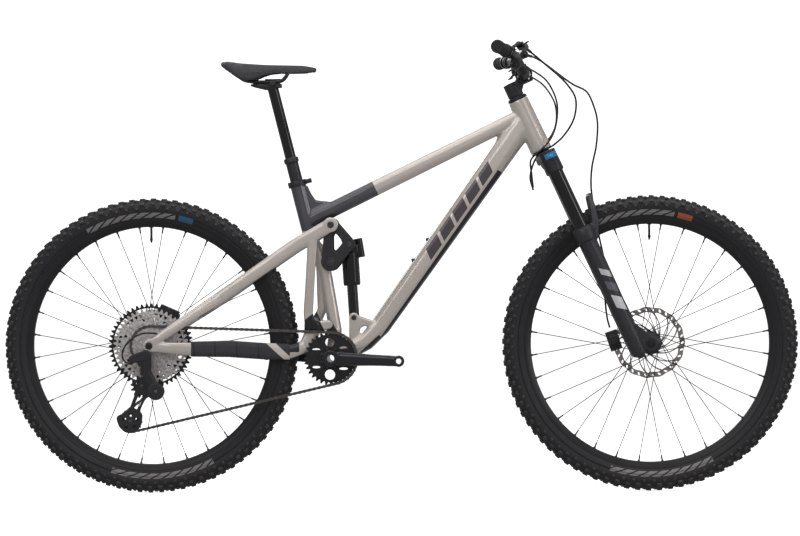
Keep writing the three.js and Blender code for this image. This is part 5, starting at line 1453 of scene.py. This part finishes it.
def makeTurned():
    bm = bmesh.new()
    lathe(bm, steer(0, 0, 0), steerUp, [(677, 14.8), (677, 21.6), (691.4, 21.6), (691.4, 25.2), (694, 25.4),
                                      (699, 22.4), (699, 14.8)], steps=64, loop=True)
    asPiece("upperHeadset", bm, deepBlack, "frame", ["headset_upper_cup"])
    bm = bmesh.new()
    lathe(bm, steer(0, 0, 0), steerUp, [(548.6, 19.8), (548.6, 27.2), (550.6, 27.4), (550.6, 21.6),
                                        (565, 21.6),
                                      (565, 19.8)], steps=64, loop=True)
    asPiece("lowerHeadset", bm, deepBlack, "frame", ["headset_lower_cup"])
    bm = bmesh.new()
    lathe(bm, bracket, yAxis, [(-43, 15), (-43, 22.4), (-42.4, 23), (-36.9, 23), (-36.9, 19.6), (36.9, 19.6),
                               (36.9, 23), (42.4, 23), (43, 22.4), (43, 15)], steps=64, loop=True)
    asPiece("bracketCups", bm, deepBlack, "frame", ["bottom_bracket"])
    seatFoot = postMiddle - seatUp * seatUp.dot(postMiddle - bracket)
    bm = bmesh.new()
    lathe(bm, seatFoot, seatUp, [(308, 14.4), (308, 15.8), (498, 15.8), (501, 18.6), (509, 18.8), (512, 17),
                                 (512, 14.4)], steps=56, loop=True)
    asPiece("dropperOuter", bm, satinBlack, "frame", ["dropper_outer_tube"])
    bm = bmesh.new()
    lathe(bm, seatFoot, seatUp, [(464, 0), (464, 13.9), (697, 13.9), (697, 0)], steps=56)
    asPiece("dropperInner", bm, slickBlack, "post", ["dropper_inner_tube"])
    bm = bmesh.new()
    lathe(bm, frontAxle, yAxis, [(-88, 0), (-88, 4), (-84, 5), (-84, 9.4), (-83.4, 10), (-78.4, 10),
                                 (-78.3, 7.5),
                                 (82, 7.5), (82, 0)], steps=40)
    asPiece("frontThroughAxle", bm, deepBlack, "lowers", ["front_axle"])


makeTurned()
crisp("rearThroughAxle", ["rear_axle"], 0.4, deepBlack, "stays")


def makePivotBolts():
    # bolt heads on the linkage's pivots, outside the arms
    spots = {
        "stays": [(Vector((bracket.x + 0.0006, 0, bracket.z + 0.3335)), 48.6, 8.5)],
        "rocker_arm": [(Vector((bracket.x - 0.0012, 0, bracket.z + 0.2414)), 35.8, 11),
                       (Vector((bracket.x + 0.0455, 0, bracket.z + 0.2843)), 35.8, 7)],
        "frame": [(shockFoot, 21.8, 6.5)],
    }
    for body, bolts in spots.items():
        bm = bmesh.new()
        for spot, out, head in bolts:
            for hand in (-1, 1):
                socketBolt(bm, spot + yAxis * hand * out * mm, yAxis * hand, head=head, height=2.6)
        asPiece(f"{body}PivotBolts".replace("_", ""), bm, boltSteel, body)


makePivotBolts()


# ---------- cable loop and small trim ----------------------

def makeRearCableLoop():
    bm = bmesh.new()
    path = smoothPath([(-0.585, -0.070, 0.392), (-0.612, -0.084, 0.402), (-0.645, -0.094, 0.400),
                       (-0.676, -0.098, 0.380), (-0.690, -0.098, 0.352), (-0.684, -0.096, 0.332),
                       (-0.664, -0.094, 0.326)], 60)
    tube(bm, path, [3.1 if i < 5 or i > 54 else 2.3 for i in range(len(path))], sides=12)
    asPiece("rearCableLoop", bm, hosePlastic, "stays")


def makeBosses():
    # two bottle bosses on the upper side of the down tube
    foot = Vector(downTube["foot"])
    along = (Vector(downTube["head"]) - foot).normalized()
    up = Vector((-along.z, 0, along.x))
    bm = bmesh.new()
    for x, z in ((0.0312, 0.582), (0.0692, 0.6324)):
        spot = foot + along * (Vector((x, 0, z)) - foot).dot(along) + up * 24 * mm
        lathe(bm, spot, up, [(0, 0), (0, 5.4), (5, 5.4), (5.6, 4.8), (5.6, 3), (8.4, 3), (8.6, 0)], steps=20)
    asPiece("bottleBosses", bm, boltSteel, "frame")


makeRearCableLoop()
makeBosses()
print("trim ready")


# ---------- saddle ----------

saddleLook = {
    "stations": [
        # place along the bicycle, half width, top, lower edge
        (-446, 34, 1080, 1073), (-440, 50, 1081, 1064), (-424, 66, 1079.5, 1052), (-404, 71, 1076, 1038),
        (-381, 65, 1074, 1029), (-356, 50, 1072.4, 1036), (-326, 35, 1071, 1046), (-293, 26, 1070.4, 1051),
        (-262, 22.5, 1070, 1049.5), (-236, 20.5, 1068.4, 1050), (-216, 17, 1065.4, 1052),
        (-205, 11, 1062, 1055),
    ],
    "section": [(0, 0.0, 0), (0.4, 0.0, 0), (0.72, 0.1, 0), (0.9, 0.26, 0), (0.985, 0.5, 0), (1, 0.78, 0),
                (0.985, 0.95, 0), (0.94, 1.0, 0), (0.88, 0.93, 0), (0.7, 0.62, 3), (0.4, 0.5, 4),
                (0, 0.46, 4)],
    "voxel": 2.4,
    "cap": 1.6,
    "channelDepth": 3.4,
    "channelHalf": 10,
}


def saddleRing(bm, station):
    x, half, top, low = station
    deep = top - low
    side = [(share * half, top - drop * deep - extra * min(1, deep / 30)) for share, drop,
            extra in saddleLook["section"]]
    whole = side + [(-y, z) for y, z in side[-2:0:-1]]
    return [bm.verts.new(Vector((x, y, z)) * mm) for y, z in whole]


def makeSaddle():
    bm = bmesh.new()
    rings = [saddleRing(bm, station) for station in saddleLook["stations"]]
    for near, far in zip(rings, rings[1:]):
        edges = [bm.edges.get(pair) or bm.edges.new(pair) for ring in (near, far)
                 for pair in zip(ring, ring[1:] + ring[:1])]
        bmesh.ops.bridge_loops(bm, edges=edges)
    for ring in (rings[0], rings[-1]):
        bm.faces.new(ring)
    bmesh.ops.recalc_face_normals(bm, faces=bm.faces)
    bmesh.ops.subdivide_edges(bm, edges=bm.edges, cuts=1, use_grid_fill=True, smooth=0.9)
    mesh = bpy.data.meshes.new("saddleCover")
    bm.to_mesh(mesh)
    bm.free()
    cover = bpy.data.objects.new("saddleCover", mesh)
    bpy.context.collection.objects.link(cover)
    remesh = cover.modifiers.new("skin", "REMESH")
    remesh.mode = "VOXEL"
    remesh.voxel_size = saddleLook["voxel"] * mm
    ease = cover.modifiers.new("ease", "SMOOTH")
    ease.factor = 0.5
    ease.iterations = 6
    made = bpy.data.meshes.new_from_object(cover.evaluated_get(bpy.context.evaluated_depsgraph_get()))
    cover.modifiers.clear()
    cover.data = made
    start = [vert.co.copy() for vert in made.vertices]
    cloth = cover.modifiers.new("foam", "CLOTH")
    cloth.settings.use_pressure = True
    cloth.settings.uniform_pressure_force = 4
    cloth.settings.effector_weights.gravity = 0
    cloth.settings.quality = 5
    scene = bpy.context.scene
    for step in range(1, 21):
        scene.frame_set(step)
    puffed = bpy.data.meshes.new_from_object(cover.evaluated_get(bpy.context.evaluated_depsgraph_get()))
    scene.frame_set(1)
    cover.modifiers.clear()
    cap = saddleLook["cap"] * mm
    for vert, before in zip(made.vertices, start):
        move = puffed.vertices[vert.index].co - before
        vert.co = before + (move if move.length < cap else move * (cap / move.length))
    for vert in made.vertices:
        up = vert.normal.z
        share = (vert.co.x / mm + 446) / 241
        if up > 0.3 and 0.1 < share < 0.84:
            fade = min(1, (share - 0.1) / 0.12, (0.84 - share) / 0.12)
            dip = max(0, 1 - (abs(vert.co.y) / (saddleLook["channelHalf"] * mm)) ** 2)
            vert.co.z -= saddleLook["channelDepth"] * mm * dip * fade * min(1, (up - 0.3) / 0.4)
    bm = bmesh.new()
    bm.from_mesh(made)
    bpy.data.objects.remove(cover)
    bmesh.ops.smooth_vert(bm, verts=bm.verts, factor=0.4, use_axis_x=True, use_axis_y=True, use_axis_z=True)
    cover = asPiece("saddleCover", bm, saddleCloth, "post", ["saddle"], sharp=70,
                    recalc=False)
    finer = cover.modifiers.new("finer", "SUBSURF")
    finer.levels = finer.render_levels = 1


def makeSaddleRails():
    bm = bmesh.new()
    for hand in (-1, 1):
        points = [(-404, 20, 1044), (-392, 21, 1036), (-374, 22, 1031.4), (-345, 22, 1030.4),
                  (-306, 22, 1030.6),
                  (-293, 21.5, 1034), (-284, 20, 1043), (-278, 17, 1053)]
        tube(bm, smoothPath([Vector((x, hand * y, z)) * mm for x, y, z in points], 40), 3.5, sides=12)
    asPiece("saddleRails", bm, slickBlack, "post", ["saddle_rails"])
    bm = bmesh.new()
    wedge = [(-372, 1025), (-312, 1032), (-303, 1025), (-301, 1016), (-326, 1008), (-372, 1019)]
    plateFrom(bm, [(x * mm, z * mm) for x, z in softened(wedge, 1)], -0.016, 0.016)
    hard = [edge for edge in bm.edges if len(edge.link_faces) == 2 and edge.calc_face_angle(0) > 0.9]
    bmesh.ops.bevel(bm, geom=hard, offset=1.5 * mm, affect="EDGES", segments=2, profile=0.5, material=-1)
    asPiece("yokeCradle", bm, satinBlack, "post")


makeSaddle()
makeSaddleRails()
fused("saddleYoke", ["saddle_clamp"], 1.0, 3, satinBlack, "post")
print("saddle ready")
